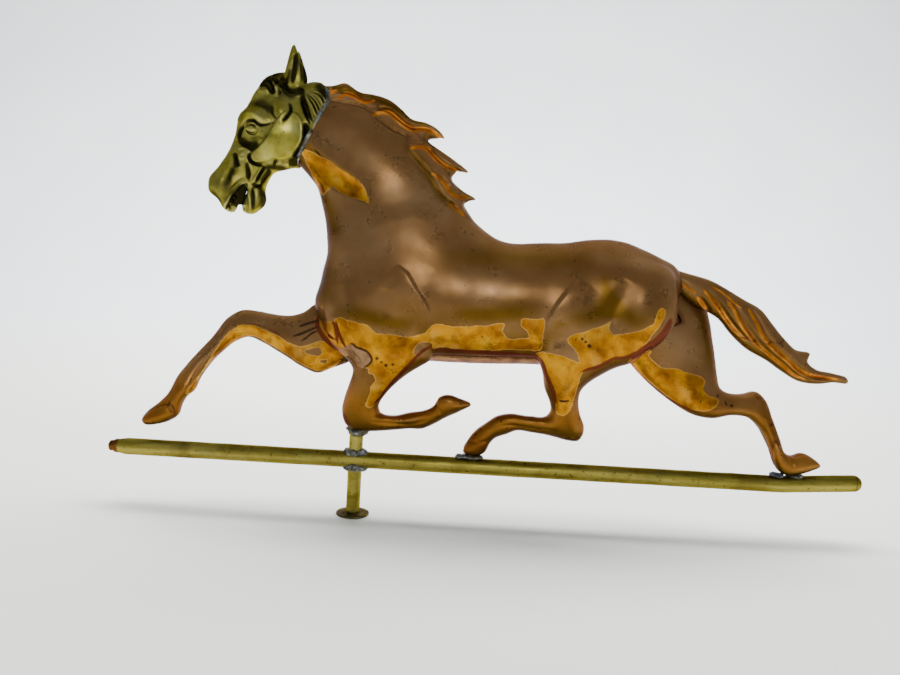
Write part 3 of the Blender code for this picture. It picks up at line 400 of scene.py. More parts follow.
INK_STROKES = [
    ([(-16, 196), (-10, 197.5), (-5, 193.6), (1, 192), (7, 189.6), (11.5, 185), (13.2, 180), (11, 175.5),
      (6, 171.5), (3, 168)], 1.1, 1.6),
    ([(-12, 191), (-6, 186), (0, 180), (3, 172)], 0.8, 0.7),
    ([(17.5, 183.4), (20.5, 181)], 1.3, 1.6), ([(23, 179), (25.5, 177.5)], 1.2, 1.6),
    ([(28, 176), (31.5, 174)], 1.5, 1.8), ([(35.5, 176), (39.5, 176.6)], 1.2, 1.6),
    ([(249.5, 219), (252.5, 217)], 1.2, 1.6), ([(254, 216), (257, 214)], 1.2, 1.6),
    ([(258, 212.5), (262, 209)], 1.5, 1.8), ([(229, 146), (236, 145.5), (243, 146.5)], 1.2, 1.3),
    ([(243.5, 217.4), (245.5, 216.8)], 1.8, 1.2), ([(314, 192.5), (321, 192)], 1.8, 1.5),
    ([(390.5, 154), (393, 154)], 1.7, 1.2), ([(412, 163), (415, 160)], 1.7, 1.0),
    ([(421, 153), (424, 154)], 2.0, 1.4), ([(427, 151), (432, 151)], 1.6, 1.0),
    ([(136.5, 214), (138.5, 214)], 1.6, 1.2), ([(474, 134), (476, 131)], 1.6, 1.2),
    ([(-50, 221), (-58, 219), (-66, 216), (-76, 212)], 1.1, 1.4),
    ([(-50, 215), (-60, 210), (-70, 205), (-82, 200.5)], 1.1, 1.4),
    ([(-50, 210), (-58, 206), (-66, 199), (-72, 195.5)], 1.0, 1.2),
]
# Painted shade: darker olive colour drawn on the chest, above the worn patches, across the barrel and
# haunch, on the neck and mane and on the tail.
PAINTED_SHADE_STROKES = [
    ([(-47, 335), (-52, 300), (-50, 270), (-42, 236)], 13, 1.0),
    ([(-34, 234), (0, 230), (40, 223), (72, 228)], 9, 0.9),
    ([(92, 237), (140, 239), (205, 248)], 10, 0.9),
    ([(222, 238), (250, 241), (285, 256), (312, 242), (338, 254)], 10, 0.8),
    ([(268, 292), (279, 264), (284, 242)], 8, 0.9),
    ([(72, 300), (140, 303), (200, 306), (262, 304)], 11, 0.55),
    ([(-62, 376), (-43, 345), (-37, 318)], 8, 0.8),
    ([(-72, 479), (-45, 481), (-18, 478), (6, 472), (34, 458), (60, 445), (78, 430)], 4.5, 0.9),
    ([(36, 424), (60, 402), (80, 372), (104, 350)], 4, 0.8),
    ([(384, 262), (396, 236), (404, 206), (408, 180)], 9, 0.7),
]
RUST_STROKES = [
    ([(351, 250), (346, 234), (337, 222), (323, 211), (307, 197)], 2.8, 1.7),
    ([(83, 203), (68, 191), (57, 178), (46, 165), (34, 150), (25, 137), (16, 127)], 1.6, 1.5),
    ([(196, 197), (206, 190.5), (212, 178), (218, 166), (223, 155), (227, 140)], 1.9, 1.5),
    ([(76, 196), (84, 196.2), (110, 196.4), (150, 196.4), (196, 196.5), (205, 197)], 1.9, 1.3),
    ([(250, 178), (256, 182), (270, 187), (281, 193), (289, 198), (300, 199.5), (314, 207)], 1.5, 1.5),
    ([(-55, 228), (-51.5, 213), (-44.5, 203.5), (-36, 195.5), (-24, 187)], 2.1, 1.7),
    ([(-47.5, 221), (-42.5, 211), (-36.5, 205), (-28, 200)], 1.2, 1.5),
    ([(-34, 224), (-30, 214), (-28, 205), (-26, 194)], 1.2, 1.3),
    ([(-29.5, 223), (-26.5, 211), (-22.5, 202), (-16, 191)], 1.2, 1.3),
    ([(304, 196), (330, 176), (350, 160), (370, 148), (392, 141)], 1.5, 1.2),
    ([(-84, 195), (-98, 202.5), (-112, 208), (-128, 212), (-148, 211)], 1.4, 0.7),
    ([(-16, 118), (-12, 108), (-6, 103)], 1.5, 1.0),
]

# ------------------------------------------------------------------ curves and depths

def smooth_path(points, spacing, closed):
    """A curve through the points, with tangents that suit uneven spacing."""
    knots = np.array(points, float)
    if not closed:
        knots = np.vstack([2 * knots[0] - knots[1], knots, 2 * knots[-1] - knots[-2]])
    ahead = np.roll(knots, -1, axis=0)
    chord = np.linalg.norm(ahead - knots, axis=1)[:, None]
    before = np.roll(chord, 1, axis=0)
    slope = (ahead - knots) / chord
    tangent = (slope * before + np.roll(slope, 1, axis=0) * chord) / (before + chord)
    span = range(len(knots)) if closed else range(1, len(knots) - 2)
    path = []
    for i in span:
        here, there, length = knots[i], ahead[i], chord[i, 0]
        out, into = tangent[i], tangent[(i + 1) % len(knots)]
        steps = max(1, round(length / spacing))
        for t in np.arange(steps) / steps:
            path.append((2 * t**3 - 3 * t**2 + 1) * here + (3 * t**2 - 2 * t**3) * there
                        + (t**3 - 2 * t**2 + t) * length * out + (t**3 - t**2) * length * into)
    if not closed:
        path.append(knots[-2])
    return np.array(path)


def depth_in(points, x, z, spacing=5.0):
    """Smooth depth inside a closed outline: positive inside, zero on it, negative outside."""
    loop = smooth_path(points, spacing, True)
    turn = np.zeros(np.broadcast(x, z).shape)
    pull = np.zeros_like(turn)
    for (ax, az), (bx, bz) in zip(loop, np.roll(loop, -1, axis=0)):
        cross = (ax - x) * (bz - z) - (az - z) * (bx - x)
        dot = (ax - x) * (bx - x) + (az - z) * (bz - z)
        angle = np.arctan2(cross, dot)
        turn += angle
        flat = np.abs(cross) < 1e-6
        ratio = np.where(flat, 1 / np.maximum(dot, 1e-6), angle / np.where(flat, 1, cross))
        pull += ratio * math.hypot(bx - ax, bz - az)
    return np.where(np.abs(turn) > math.pi, math.pi, -math.pi) / pull


def distance_to(points, x, z, spacing=3.0):
    """Distance to an open curve, positive on its left, and how far along it, 0 to 1."""
    path = smooth_path(points, spacing, False)
    best = np.full(np.broadcast(x, z).shape, 1e9)
    along, side = np.zeros_like(best), np.ones_like(best)
    last = len(path) - 1
    for i, ((ax, az), (bx, bz)) in enumerate(zip(path, path[1:])):
        length2 = (bx - ax)**2 + (bz - az)**2
        t = np.clip(((x - ax) * (bx - ax) + (z - az) * (bz - az)) / length2, 0, 1)
        gap = (x - ax - t * (bx - ax))**2 + (z - az - t * (bz - az))**2
        nearer = gap < best
        best = np.where(nearer, gap, best)
        along = np.where(nearer, (i + t) / last, along)
        left = (bx - ax) * (z - az) > (bz - az) * (x - ax)
        side = np.where(nearer, np.where(left, 1.0, -1.0), side)
    return side * np.sqrt(best), along


def smoothstep(value, low, high):
    """Nought below low, one above high, and an eased rise between them."""
    t = np.clip((value - low) / (high - low), 0, 1)
    return t * t * (3 - 2 * t)


def blend(a, b, width):
    """Union of two distance fields with a fillet of the given width."""
    h = np.clip(0.5 + 0.5 * (b - a) / width, 0, 1)
    return b * (1 - h) + a * h - width * h * (1 - h)


def carve(a, b, width):
    """Take form b away from form a, with an eased edge."""
    return -blend(-a, b, width)


def seen(x, y, z):
    """Where a point of either side falls on the middle plane, looked at from the viewpoint."""
    grow = 1 / (1 - np.abs(y) / -VIEWPOINT[1])
    return VIEWPOINT[0] + (x - VIEWPOINT[0]) * grow, VIEWPOINT[2] + (z - VIEWPOINT[2]) * grow


class Block:
    """A grid of points, in millimetres, on which forms are added up."""

    def __init__(self, low, high, cell):
        self.low, self.cell = np.array(low, float), cell
        counts = [int((b - a) / cell) + 1 for a, b in zip(low, high)]
        self.x, self.y, self.z = (a + cell * np.arange(n) for a, n in zip(low, counts))
        self.flat_x, self.flat_z = self.x[:, None], self.z[None, :]

    def depth(self, outline):
        return depth_in(outline, self.flat_x, self.flat_z)

    def form(self, depth, roundness, centre=0.0):
        """A rounded form: half thickness is the root of roundness times half width."""
        rise_x, rise_z = np.gradient(depth, self.cell)
        edge = (roundness**2 * (rise_x**2 + rise_z**2)).astype(np.float32)
        off = (self.y[None, :, None] - np.broadcast_to(centre, depth.shape)[:, None, :]).astype(np.float32)
        section = off**2 - (2 * roundness * depth[:, None, :]).astype(np.float32)
        return section / (2 * np.sqrt(off**2 + edge[:, None, :]) + 1)

    def ball(self, centre, radii, turn=0.0):
        """An ellipsoid, turned about Y by an angle in degrees (x towards z)."""
        x = (self.x - centre[0])[:, None, None]
        y = (self.y - centre[1])[None, :, None]
        z = (self.z - centre[2])[None, None, :]
        c, s = math.cos(math.radians(turn)), math.sin(math.radians(turn))
        u, w = x * c + z * s, -x * s + z * c
        reach = np.sqrt((u / radii[0])**2 + (y / radii[1])**2 + (w / radii[2])**2)
        return ((reach - 1) * min(radii)).astype(np.float32)

    def surface(self, field):
        """Points (mm) and faces of the field's closed surface."""
        grid = openvdb.FloatGrid()
        grid.copyFromArray(np.ascontiguousarray(field, dtype=np.float32))
        points, triangles, quads = grid.convertToPolygons(isovalue=0.0, adaptivity=0.0)
        return points * self.cell + self.low, triangles.tolist() + quads.tolist()


class Relief:
    """Heights to press into a surface, added up from strokes, folds, domes and plates."""

    def __init__(self, x, z):
        self.x, self.z = x, z
        self.height = np.zeros(len(x))

    def near(self, points, reach):
        low, high = np.min(points, axis=0) - reach, np.max(points, axis=0) + reach
        return (self.x > low[0]) & (self.x < high[0]) & (self.z > low[1]) & (self.z < high[1])

    def stroke(self, points, width, height):
        """A ridge or, with a negative height, a groove that fades out at both ends."""
        here = self.near(points, 3 * width)
        gap, along = distance_to(points, self.x[here], self.z[here], max(0.8, width))
        taper = np.clip(5 * along * (1 - along), 0, 1)**0.6
        self.height[here] += height * taper * np.exp(-(gap / width)**2)

    def strokes(self, rows):
        for points, width, height in rows:
            self.stroke(points, width, height)

    def fold(self, points, side, sharp, wide, height):
        """A mass that ends in a crisp edge along a curve: side 1 swells the curve's left."""
        here = self.near(points, 3 * wide)
        gap, along = distance_to(points, self.x[here], self.z[here])
        gap = gap * side
        taper = np.clip(4 * along * (1 - along), 0, 1)**0.7
        rise = smoothstep(gap, -sharp, sharp) * np.exp(-(np.maximum(gap, 0) / wide)**2)
        self.height[here] += height * taper * rise

    def dome(self, centre, radii, turn, height):
        here = self.near([centre], 2 * max(radii))
        c, s = math.cos(math.radians(turn)), math.sin(math.radians(turn))
        x, z = self.x[here] - centre[0], self.z[here] - centre[1]
        reach = ((x * c + z * s) / radii[0])**2 + ((z * c - x * s) / radii[1])**2
        self.height[here] += height * np.exp(-reach**1.5)

    def domes(self, rows):
        for centre, radii, turn, height in rows:
            self.dome(centre, radii, turn, height)

    def plate(self, outline, low, high, height):
        """A flat raised or sunk area whose edge runs between two depths."""
        here = self.near(outline, 4)
        depth = depth_in(outline, self.x[here], self.z[here], 4)
        self.height[here] += height * smoothstep(depth, low, high)


def lumpy(points, size, seed):
    """Gentle irregularity of about the given size, between -1 and 1."""
    chance = np.random.default_rng(seed)
    total = np.zeros(len(points))
    for _ in range(14):
        wave = chance.normal(size=3)
        wave *= 2 * math.pi / size * chance.uniform(0.5, 1.0) / np.linalg.norm(wave)
        total += np.sin(points @ wave + chance.uniform(0, 2 * math.pi))
    return total / 5.3


# ------------------------------------------------------------------ seams
# A seam or cut gives its place on one axis from a point's places on the other two.

def leg_spread(z):
    """How far a leg's own middle stands from the vane's middle plane, at a height."""
    return LEG_SPREAD * smoothstep(z, HOOF_LEVEL, BODY_LEVEL)


def left_seam(x, z):
    """The near seam, along the near legs' middles and back to the middle plane above them."""
    return -leg_spread(z) * (1 - smoothstep(z - SEAM_BEND, 0, SEAM_EASE))


def right_seam(x, z):
    """The far seam; it climbs higher in front of the chest and behind the thigh."""
    bend = SEAM_BEND + 60 * smoothstep(-x, 50, 62) + 60 * smoothstep(x, 320, 350)
    return leg_spread(z) * (1 - smoothstep(z - bend, 0, SEAM_EASE))


def far_leg_limit(x, z):
    """The near side of the far legs' inner halves: the left seam, open below the belly."""
    return left_seam(x, z) - 90 * smoothstep(-z, -192, -184)


def foreleg_root(y, z):
    """Where the far foreleg's inner half starts, in front of the belly strip."""
    return -50 + 32 * smoothstep(-z, -215, -175)


def hindleg_root(y, z):
    """Where the far hind leg's inner half starts, behind the belly strip."""
    return 314 - 14 * smoothstep(-z, -205, -180)


def collar(y, z):
    """Where the head meets the neck."""
    places, heights = np.transpose(COLLAR)
    return np.interp(z, heights, places)


def middle_plane(x, z):
    return np.zeros_like(x)


# ------------------------------------------------------------------ mesh pieces

def coordinates(data):
    flat = np.empty(len(data.vertices) * 3)
    data.vertices.foreach_get("co", flat)
    return flat.reshape(-1, 3)


def move_to(data, points):
    data.vertices.foreach_set("co", points.ravel())
    data.update()


def edge_ends(data):
    """The indices of the points at both ends of every edge."""
    edges = np.empty(len(data.edges) * 2, int)
    data.edges.foreach_get("vertices", edges)
    return edges.reshape(-1, 2).T


def cut(data, axis, place, keep, clearance=CLEARANCE):
    """Keep one side of a curved cut: axis 1 cuts at y = place(x, z), 0 at x = place(y, z)."""
    def shift(sign):
        points = coordinates(data)
        other = points[:, 0] if axis == 1 else points[:, 1]
        points[:, axis] += sign * place(other, points[:, 2])
        move_to(data, points)
    shift(-1)
    normal, spot = [0, 0, 0], [0, 0, 0]
    normal[axis], spot[axis] = keep, keep * clearance
    slice_mesh(data, spot, normal)
    shift(1)


def cut_level(data, height, keep):
    """Keep what is above (1) or below (-1) a height."""
    slice_mesh(data, (0, 0, height + keep * CLEARANCE), (0, 0, keep))


def slice_mesh(data, spot, normal):
    """Drop what lies behind the plane, on the side away from its normal."""
    form = bmesh.new()
    form.from_mesh(data)
    bmesh.ops.bisect_plane(form, geom=form.verts[:] + form.edges[:] + form.faces[:],
                           plane_co=spot, plane_no=normal, clear_inner=True)
    form.to_mesh(data)
    form.free()


def keep_part_near(data, spot):
    """Drop every loose part but the one nearest to the spot."""
    points = coordinates(data)
    a, b = edge_ends(data)
    label = np.arange(len(points))
    while True:
        low = np.minimum(label[a], label[b])
        settled = label.copy()
        np.minimum.at(settled, a, low)
        np.minimum.at(settled, b, low)
        settled = settled[settled]
        if np.array_equal(settled, label):
            break
        label = settled
    start = np.argmin(((points - spot)**2).sum(axis=1))
    lost = label != label[start]
    if lost.any():
        form = bmesh.new()
        form.from_mesh(data)
        form.verts.ensure_lookup_table()
        bmesh.ops.delete(form, geom=[form.verts[i] for i in np.nonzero(lost)[0]], context="VERTS")
        form.to_mesh(data)
        form.free()


def loft(rings, closed=False, tips=()):
    """Points and faces of a skin over rings of points; tips close the open ends to points."""
    count, sides = rings.shape[:2]
    points = rings.reshape(-1, 3)
    faces = []
    for i in range(count if closed else count - 1):
        here, there = i * sides, (i + 1) % count * sides
        for k in range(sides):
            j = (k + 1) % sides
            faces.append((here + k, here + j, there + j, there + k))
    for tip, first in zip(tips, (0, (count - 1) * sides)):
        if tip is None:
            continue
        points = np.vstack([points, tip])
        for k in range(sides):
            j = (k + 1) % sides
            corners = (first + j, first + k) if first == 0 else (first + k, first + j)
            faces.append((*corners, len(points) - 1))
    return points, faces


def mesh_from(points, faces, name):
    data = bpy.data.meshes.new(name)
    data.from_pydata(points.tolist(), [], faces)
    return data


def normals_of(data):
    flat = np.empty(len(data.vertices) * 3, np.float32)
    data.vertex_normals.foreach_get("vector", flat)
    return flat.reshape(-1, 3)


def press(data, height):
    """Move each point out along its normal, or in with a negative height."""
    move_to(data, coordinates(data) + normals_of(data) * height[:, None])


def facing_side(data):
    """One where a surface faces sideways and out, nothing where it faces up, down or in."""
    return smoothstep(normals_of(data)[:, 1] * np.sign(coordinates(data)[:, 1]), 0.1, 0.6)


def neighbour_average(data):
    """A function that averages a number per point, or rows of them, over the point's neighbours."""
    a, b = edge_ends(data)
    ends, others = np.concatenate([a, b]), np.concatenate([b, a])
    count = np.maximum(np.bincount(ends, minlength=len(data.vertices)), 1)

    def average(values):
        if values.ndim == 2:
            return np.stack([average(column) for column in values.T], axis=1)
        return np.bincount(ends, values[others], len(count)) / count
    return average


def relax(data, rounds):
    """Ease the points towards their neighbours and most of the way back, to keep the form's size."""
    average = neighbour_average(data)
    points = coordinates(data)
    for _ in range(rounds):
        for pull in (0.6, -0.45):
            points = points + pull * (average(points) - points)
    move_to(data, points)


def hollowness(data, rounds):
    """Curvature per millimetre, hollow positive and proud negative, eased over some rounds."""
    average = neighbour_average(data)
    points = coordinates(data)
    a, b = edge_ends(data)
    step = ((points[a] - points[b])**2).sum(axis=1).mean()
    hollow = 2 * ((average(points) - points) * normals_of(data)).sum(axis=1) / step
    for _ in range(rounds):
        hollow = 0.5 * hollow + 0.5 * average(hollow)
    return hollow


def mark(data, name, values):
    """Store a number per point for the materials to read."""
    layer = data.attributes.new(name, "FLOAT", "POINT")
    layer.data.foreach_set("value", np.asarray(values, np.float32))


def add_object(name, data):
    made = bpy.data.objects.new(name, data)
    bpy.context.scene.collection.objects.link(made)
    return made


def finish_piece(data, name, finish, node, thickness=SHEET, body="vane"):
    """Scale to metres, make the piece ride on its body and stand for its CAD node."""
    move_to(data, coordinates(data) * MM)
    data.shade_smooth()
    data.materials.append(finish)
    piece = add_object(name, data)
    if thickness:
        solid = piece.modifiers.new("sheet", "SOLIDIFY")
        solid.thickness, solid.offset = thickness * MM, -1
    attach(piece, body)
    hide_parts(node)


# ------------------------------------------------------------------ the horse's sheet metal

def groove_cut(x, z, grooves):
    """Depth of the pressed grooves and a 0 to 1 mark of where they are."""
    depth = np.zeros(np.broadcast(x, z).shape)
    here = np.zeros_like(depth)
    for points, width, deep in grooves:
        gap, along = distance_to(points, x, z)
        taper = np.sqrt(np.clip(4 * along * (1 - along), 0, 1))
        reach = np.abs(gap) / (width * (0.35 + 0.65 * taper))
        depth = np.maximum(depth, deep * (0.3 + 0.7 * taper) * np.clip(1 - reach**2, 0, 1))
        here = np.maximum(here, 1 - reach)
    return depth, here


def horse_field(block):
    """Torso, neck, mane and legs as one form."""
    mane = block.depth(MANE)
    torso = block.form(block.depth(TORSO), TORSO_ROUND)
    neck = block.form(block.depth(NECK), NECK_ROUND)
    lift = 3.0 * smoothstep(mane, 0, 2.5)
    locks = block.form(mane, MANE_ROUND)
    grooves, _ = groove_cut(block.flat_x, block.flat_z, MANE_GROOVES)
    hollow = 2.2 * smoothstep(block.depth(JUGULAR), -0.5, 5)
    neck += (hollow + grooves)[:, None, :].astype(np.float32)
    locks += grooves[:, None, :].astype(np.float32)
    neck -= lift[:, None, :].astype(np.float32)
    field = blend(torso, neck, 22)
    field = blend(field, locks, 2)
    spread = leg_spread(block.flat_z)
    for leg, side in ((FORELEG_LEFT, -1), (FORELEG_RIGHT, 1), (HINDLEG_LEFT, -1), (HINDLEG_RIGHT, 1)):
        field = blend(field, block.form(block.depth(leg), LEG_ROUND, side * spread), 5)
    return field


def nearest_patch(outlines, x, z):
    """Depth in the deepest of some outlines, in millimetres; -PATCH_REACH well away from them."""
    deepest = np.full(len(x), -PATCH_REACH)
    for outline in outlines:
        low, high = np.min(outline, axis=0) - PATCH_REACH, np.max(outline, axis=0) + PATCH_REACH
        here = (x > low[0]) & (x < high[0]) & (z > low[1]) & (z < high[1])
        deepest[here] = np.maximum(deepest[here], depth_in(outline, x[here], z[here], 6))
    return deepest


def drawn(strokes, x, z):
    """How strongly some strokes mark each point, 0 to 1."""
    lines = Relief(x, z)
    for points, width, strength in strokes:
        lines.stroke(points, 1.25 * width, strength)
    return np.clip(lines.height, 0, 1)


def patina_marks(data, grooves):
    """Numbers for the copper's material, one set for each point."""
    x, y, z = coordinates(data).T
    seen_x, seen_z = seen(x, y, z)
    bright = nearest_patch(BRIGHT_PATCHES, seen_x, seen_z)
    bright = np.minimum(bright, -nearest_patch(BROWN_PATCHES, seen_x, seen_z))
    mark(data, "bright", np.clip(bright / PATCH_REACH, -1, 1))
    inner_half = smoothstep(y - left_seam(x, z), 0.5, 1.5) * smoothstep(10 - y, 0, 4)
    near_legs = smoothstep(x, -24, -18) * smoothstep(310 - x, 0, 8) * smoothstep(z, 140, 150) * (z < 205)
    inside = 30 * inner_half * near_legs - PATCH_REACH
    pink = np.maximum(nearest_patch(PINK_PATCHES, seen_x, seen_z), inside)
    mark(data, "pink", np.clip(pink / PATCH_REACH, -1, 1))
    mark(data, "ink", drawn(INK_STROKES, seen_x, seen_z))
    # Painted shade, from the painted shade strokes.
    mark(data, "painted_shade", drawn(PAINTED_SHADE_STROKES, seen_x, seen_z))
    mark(data, "rust", drawn(RUST_STROKES, seen_x, seen_z))
    # Where the hair's grooves are, for their painted sheen.
    mark(data, "groove", np.clip(groove_cut(seen_x, seen_z, grooves)[1], -1, 1))
    left = y - left_seam(x, z)
    right = y - right_seam(x, z)
    nearest = np.where(np.abs(left) < np.abs(right), left, right)
    mark(data, "seam", np.clip(nearest / 10, -1, 1))
    # Painted shade: darkens down-facing surfaces to olive, standing in for a dark reflection of the floor.
    mark(data, "under", smoothstep(-normals_of(data)[:, 2], -0.05, 0.75))
    mark(data, "low", smoothstep(-z, -178, -130))
    # Curvature for the painted shade in the hollows and for the paler high places, partly rubbed wear and
    # partly painted highlight.
    mark(data, "hollow", np.clip(hollowness(data, 6) / 0.45, -1, 1))


def sculpt_body(data):
    """Press the muscles, creases and edges of the two body shells."""
    points = coordinates(data)
    relief = Relief(*seen(*points.T))
    relief.plate(JUGULAR, -0.4, 1.8, -1.3)
    relief.plate(JUGULAR, 0.5, 9, -2.6)
    for path, side, sharp, wide, height in BODY_FOLDS:
        relief.fold(path, side, sharp, wide, height)
    relief.domes(BODY_DOMES)
    relief.strokes(BODY_STROKES)
    relief.stroke(LOCK_EDGE, 1.1, 0.9)
    dents = 0.28 * lumpy(points, 55, 1) + 0.10 * lumpy(points, 18, 2)
    press(data, relief.height * facing_side(data) + dents)


def make_horse():
    """The body, leg and tail pieces; gives back the rim that the head is soldered to."""
    block = Block((-262, -62, 66), (548, 62, 500), BODY_CELL)
    field = horse_field(block)
    for seam in (left_seam, right_seam):
        off = block.y[None, :, None] - seam(block.flat_x, block.flat_z)[:, None, :]
        field += (0.7 * np.exp(-(off / 1.6)**2)).astype(np.float32)
    whole = mesh_from(*block.surface(field), "horse")
    relax(whole, 4)
    sculpt_body(whole)
    patina_marks(whole, MANE_GROOVES)
    make_shells(whole)
    make_inner_halves(whole)
    ring = neck_ring(whole)
    make_tail()
    return ring


def make_shells(whole):
    """The two pressings: each body half with the outer halves of its legs."""
    for side, node, seam in ((-1, "body_shell_left", left_seam), (1, "body_shell_right", right_seam)):
        shell = whole.copy()
        cut(shell, 1, seam, side)
        cut(shell, 0, collar, 1, -COLLAR_LAP)
        keep_part_near(shell, (100, 45 * side, 260))
        finish_piece(shell, node.replace("body_shell", "shell"), copper(), node)


def make_inner_halves(whole):
    """The inner halves of the legs and the strip of belly between the seams."""
    for node, spot in (("foreleg_left_inner", (0, 0, 112)), ("hindleg_left_inner", (240, 0, 115))):
        leg = whole.copy()
        cut(leg, 1, left_seam, 1)
        cut_level(leg, BELLY_LEVEL, -1)
        keep_part_near(leg, spot)
        finish_piece(leg, node.replace("_inner", "_half"), copper(), node)
    for node, root, side, spot in (("foreleg_right_inner", foreleg_root, -1, (-200, 0, 140)),
                                   ("hindleg_right_inner", hindleg_root, 1, (420, 0, 150))):
        leg = whole.copy()
        cut(leg, 1, right_seam, -1)
        cut(leg, 0, root, side)
        cut(leg, 1, far_leg_limit, 1)
        keep_part_near(leg, spot)
        finish_piece(leg, node.replace("_inner", "_half"), copper(), node)
    pan = whole.copy()
    cut(pan, 1, left_seam, 1)
    cut(pan, 1, right_seam, -1)
    cut(pan, 0, foreleg_root, 1)
    cut(pan, 0, hindleg_root, -1)
    cut_level(pan, BELLY_LEVEL, 1)
    keep_part_near(pan, (140, 0, 184))
    finish_piece(pan, "belly", copper(), "belly_pan")


def neck_ring(whole):
    """The rim of the neck where the head is soldered on, its points in order round it."""
    section = whole.copy()
    cut(section, 0, collar, 1, 0)
    form = bmesh.new()
    form.from_mesh(section)
    throat, nape = 385, -30
    rim = np.array([v.co[:] for v in form.verts if v.is_boundary and v.co.z > throat and v.co.x < nape])
    form.free()
    middle = rim.mean(axis=0)
    return rim[np.argsort(np.arctan2(rim[:, 2] - middle[2], rim[:, 1] - middle[1]))]


def make_tail():
    """The tail's two halves, with a raised line where they meet."""
    block = Block((336, -30, 168), (566, 30, 318), TAIL_CELL)
    tail = block.form(block.depth(TAIL), TAIL_ROUND)
    grooves, _ = groove_cut(block.flat_x, block.flat_z, TAIL_GROOVES)
    tail += grooves[:, None, :].astype(np.float32)
    tail += (0.6 * np.exp(-(block.y / 1.4)**2)).astype(np.float32)[None, :, None]
    whole = mesh_from(*block.surface(tail), "tail")
    relax(whole, 3)
    patina_marks(whole, TAIL_GROOVES)
    for side, node in ((-1, "tail_left"), (1, "tail_right")):
        half = whole.copy()
        cut(half, 1, middle_plane, side)
        finish_piece(half, node + "_half", copper(), node)


# ------------------------------------------------------------------ the cast head

def head_field(block):
    """The head's form with ears, nostrils and the open mouth."""
    head = block.form(block.depth(HEAD), HEAD_ROUND)
    head = blend(head, block.ball((-102, 0, 428), (32, 31, 38)), 8)
    head = blend(head, block.ball((-110, 0, 446), (26, 26, 32)), 8)
    neck = block.form(block.depth(NECK), NECK_ROUND)
    head = blend(head, neck - 1.0, 10)
    ear = block.depth(EAR)
    for side in (-1, 1):
        head = blend(head, block.form(ear, EAR_ROUND, side * EAR_SPREAD), 3)
        head = carve(head, block.ball((-179, 6.5 * side, 368), (5, 3.2, 4.6), 15), 1.2)
    aside = np.abs(block.y)[None, :, None] - 3.2
    head = carve(head, np.maximum(-block.depth(MOUTH)[:, None, :], -aside), 0.8)
    return blend(head, np.maximum(-block.depth(MOUTH_BACK)[:, None, :], aside), 0.8)


def hair_strokes(relief):
    """Fine combed strands that fan out from behind the ear towards the collar."""
    for i in range(HAIR_STROKES):
        t = i / (HAIR_STROKES - 1)
        root = (-80 + 9 * t, 471 + 8 * t)
        end = (-68 + 21 * t, 437 + 31 * t)
        bow = ((root[0] + end[0]) / 2 - 2 + 6 * t, (root[1] + end[1]) / 2 + 1 + 3 * t)
        sway = 1.6 * math.sin(2.3 * i)
        bow = (bow[0] + sway, bow[1] - 0.6 * sway)
        relief.stroke([root, bow, end], 1.0 + 0.25 * math.cos(3.1 * i), -1.7 - 0.6 * math.cos(1.9 * i))
        relief.stroke([(root[0] + 1.5, root[1] + 1), (bow[0] + 2, bow[1] + 2), (end[0] + 1.5, end[1] + 3)],
                      0.9, 0.9 + 0.5 * math.sin(1.3 * i))


def sculpt_head(data):
    """Press eyes, cheeks, lips, teeth, forelock and hair into both sides of the casting."""
    relief = Relief(*seen(*coordinates(data).T))
    relief.plate(CHEEK, -0.4, 2.4, 2.6)
    relief.domes(HEAD_DOMES)
    relief.strokes(HEAD_STROKES)
    hair_strokes(relief)
    sideways = facing_side(data)
    press(data, relief.height * sideways + 0.12 * lumpy(coordinates(data), 9, 5))
    # Painted shade where the relief is sunk and in the hollows, and painted highlight on the high places,
    # for the casting's material.
    mark(data, "sunk", np.clip(-relief.height * sideways / 3, -1, 1))
    mark(data, "hollow", np.clip(hollowness(data, 4) / 0.6, -1, 1))
    # Dark patina and painted shade, from the head's shade strokes.
    mark(data, "shade", drawn(HEAD_SHADES, *seen(*coordinates(data).T)))


def make_head():
    """The casting, cut off at the collar."""
    block = Block((-190, -44, 328), (-24, 44, 530), HEAD_CELL)
    whole = mesh_from(*block.surface(head_field(block)), "head")
    relax(whole, 3)
    sculpt_head(whole)
    cut(whole, 0, collar, -1, -COLLAR_LAP)
    keep_part_near(whole, (-150, 0, 420))
    finish_piece(whole, "head_casting", antique_brass(), "head", CASTING)


def eased_ring(points, count):
    """Evenly spaced points round a ring, eased over their neighbours."""
    closed = np.vstack([points, points[:1]])
    along = np.concatenate([[0], np.cumsum(np.linalg.norm(np.diff(closed, axis=0), axis=1))])
    where = np.linspace(0, along[-1], count, endpoint=False)
    ring = np.stack([np.interp(where, along, closed[:, i]) for i in range(3)], axis=1)
    for _ in range(6):
        ring = 0.5 * ring + 0.25 * (np.roll(ring, 1, axis=0) + np.roll(ring, -1, axis=0))
    return ring


def make_neck_solder(ring):
    """An uneven bead of solder round the neck where head and body meet."""
    path = eased_ring(ring, 220)
    ahead = np.roll(path, -1, axis=0) - np.roll(path, 1, axis=0)
    ahead /= np.linalg.norm(ahead, axis=1)[:, None]
    out = path - path.mean(axis=0)
    out -= (out * ahead).sum(axis=1)[:, None] * ahead
    out /= np.linalg.norm(out, axis=1)[:, None]
    across = np.cross(ahead, out)
    radius = 2.1 + 0.45 * lumpy(path, 7, 11)
    sides = 14
    rings = []
    for i in range(sides):
        a = 2 * math.pi * i / sides
        rings.append(path + radius[:, None] * (1.15 * math.cos(a) * across + 0.75 * math.sin(a) * out))
    points, faces = loft(np.stack(rings, axis=1), closed=True)
    data = mesh_from(points, faces, "neck_bead")
    press(data, 0.25 * lumpy(points, 3, 12))
    finish_piece(data, "neck_bead", solder(), "neck_solder", 0)


# ------------------------------------------------------------------ perch, post and foot

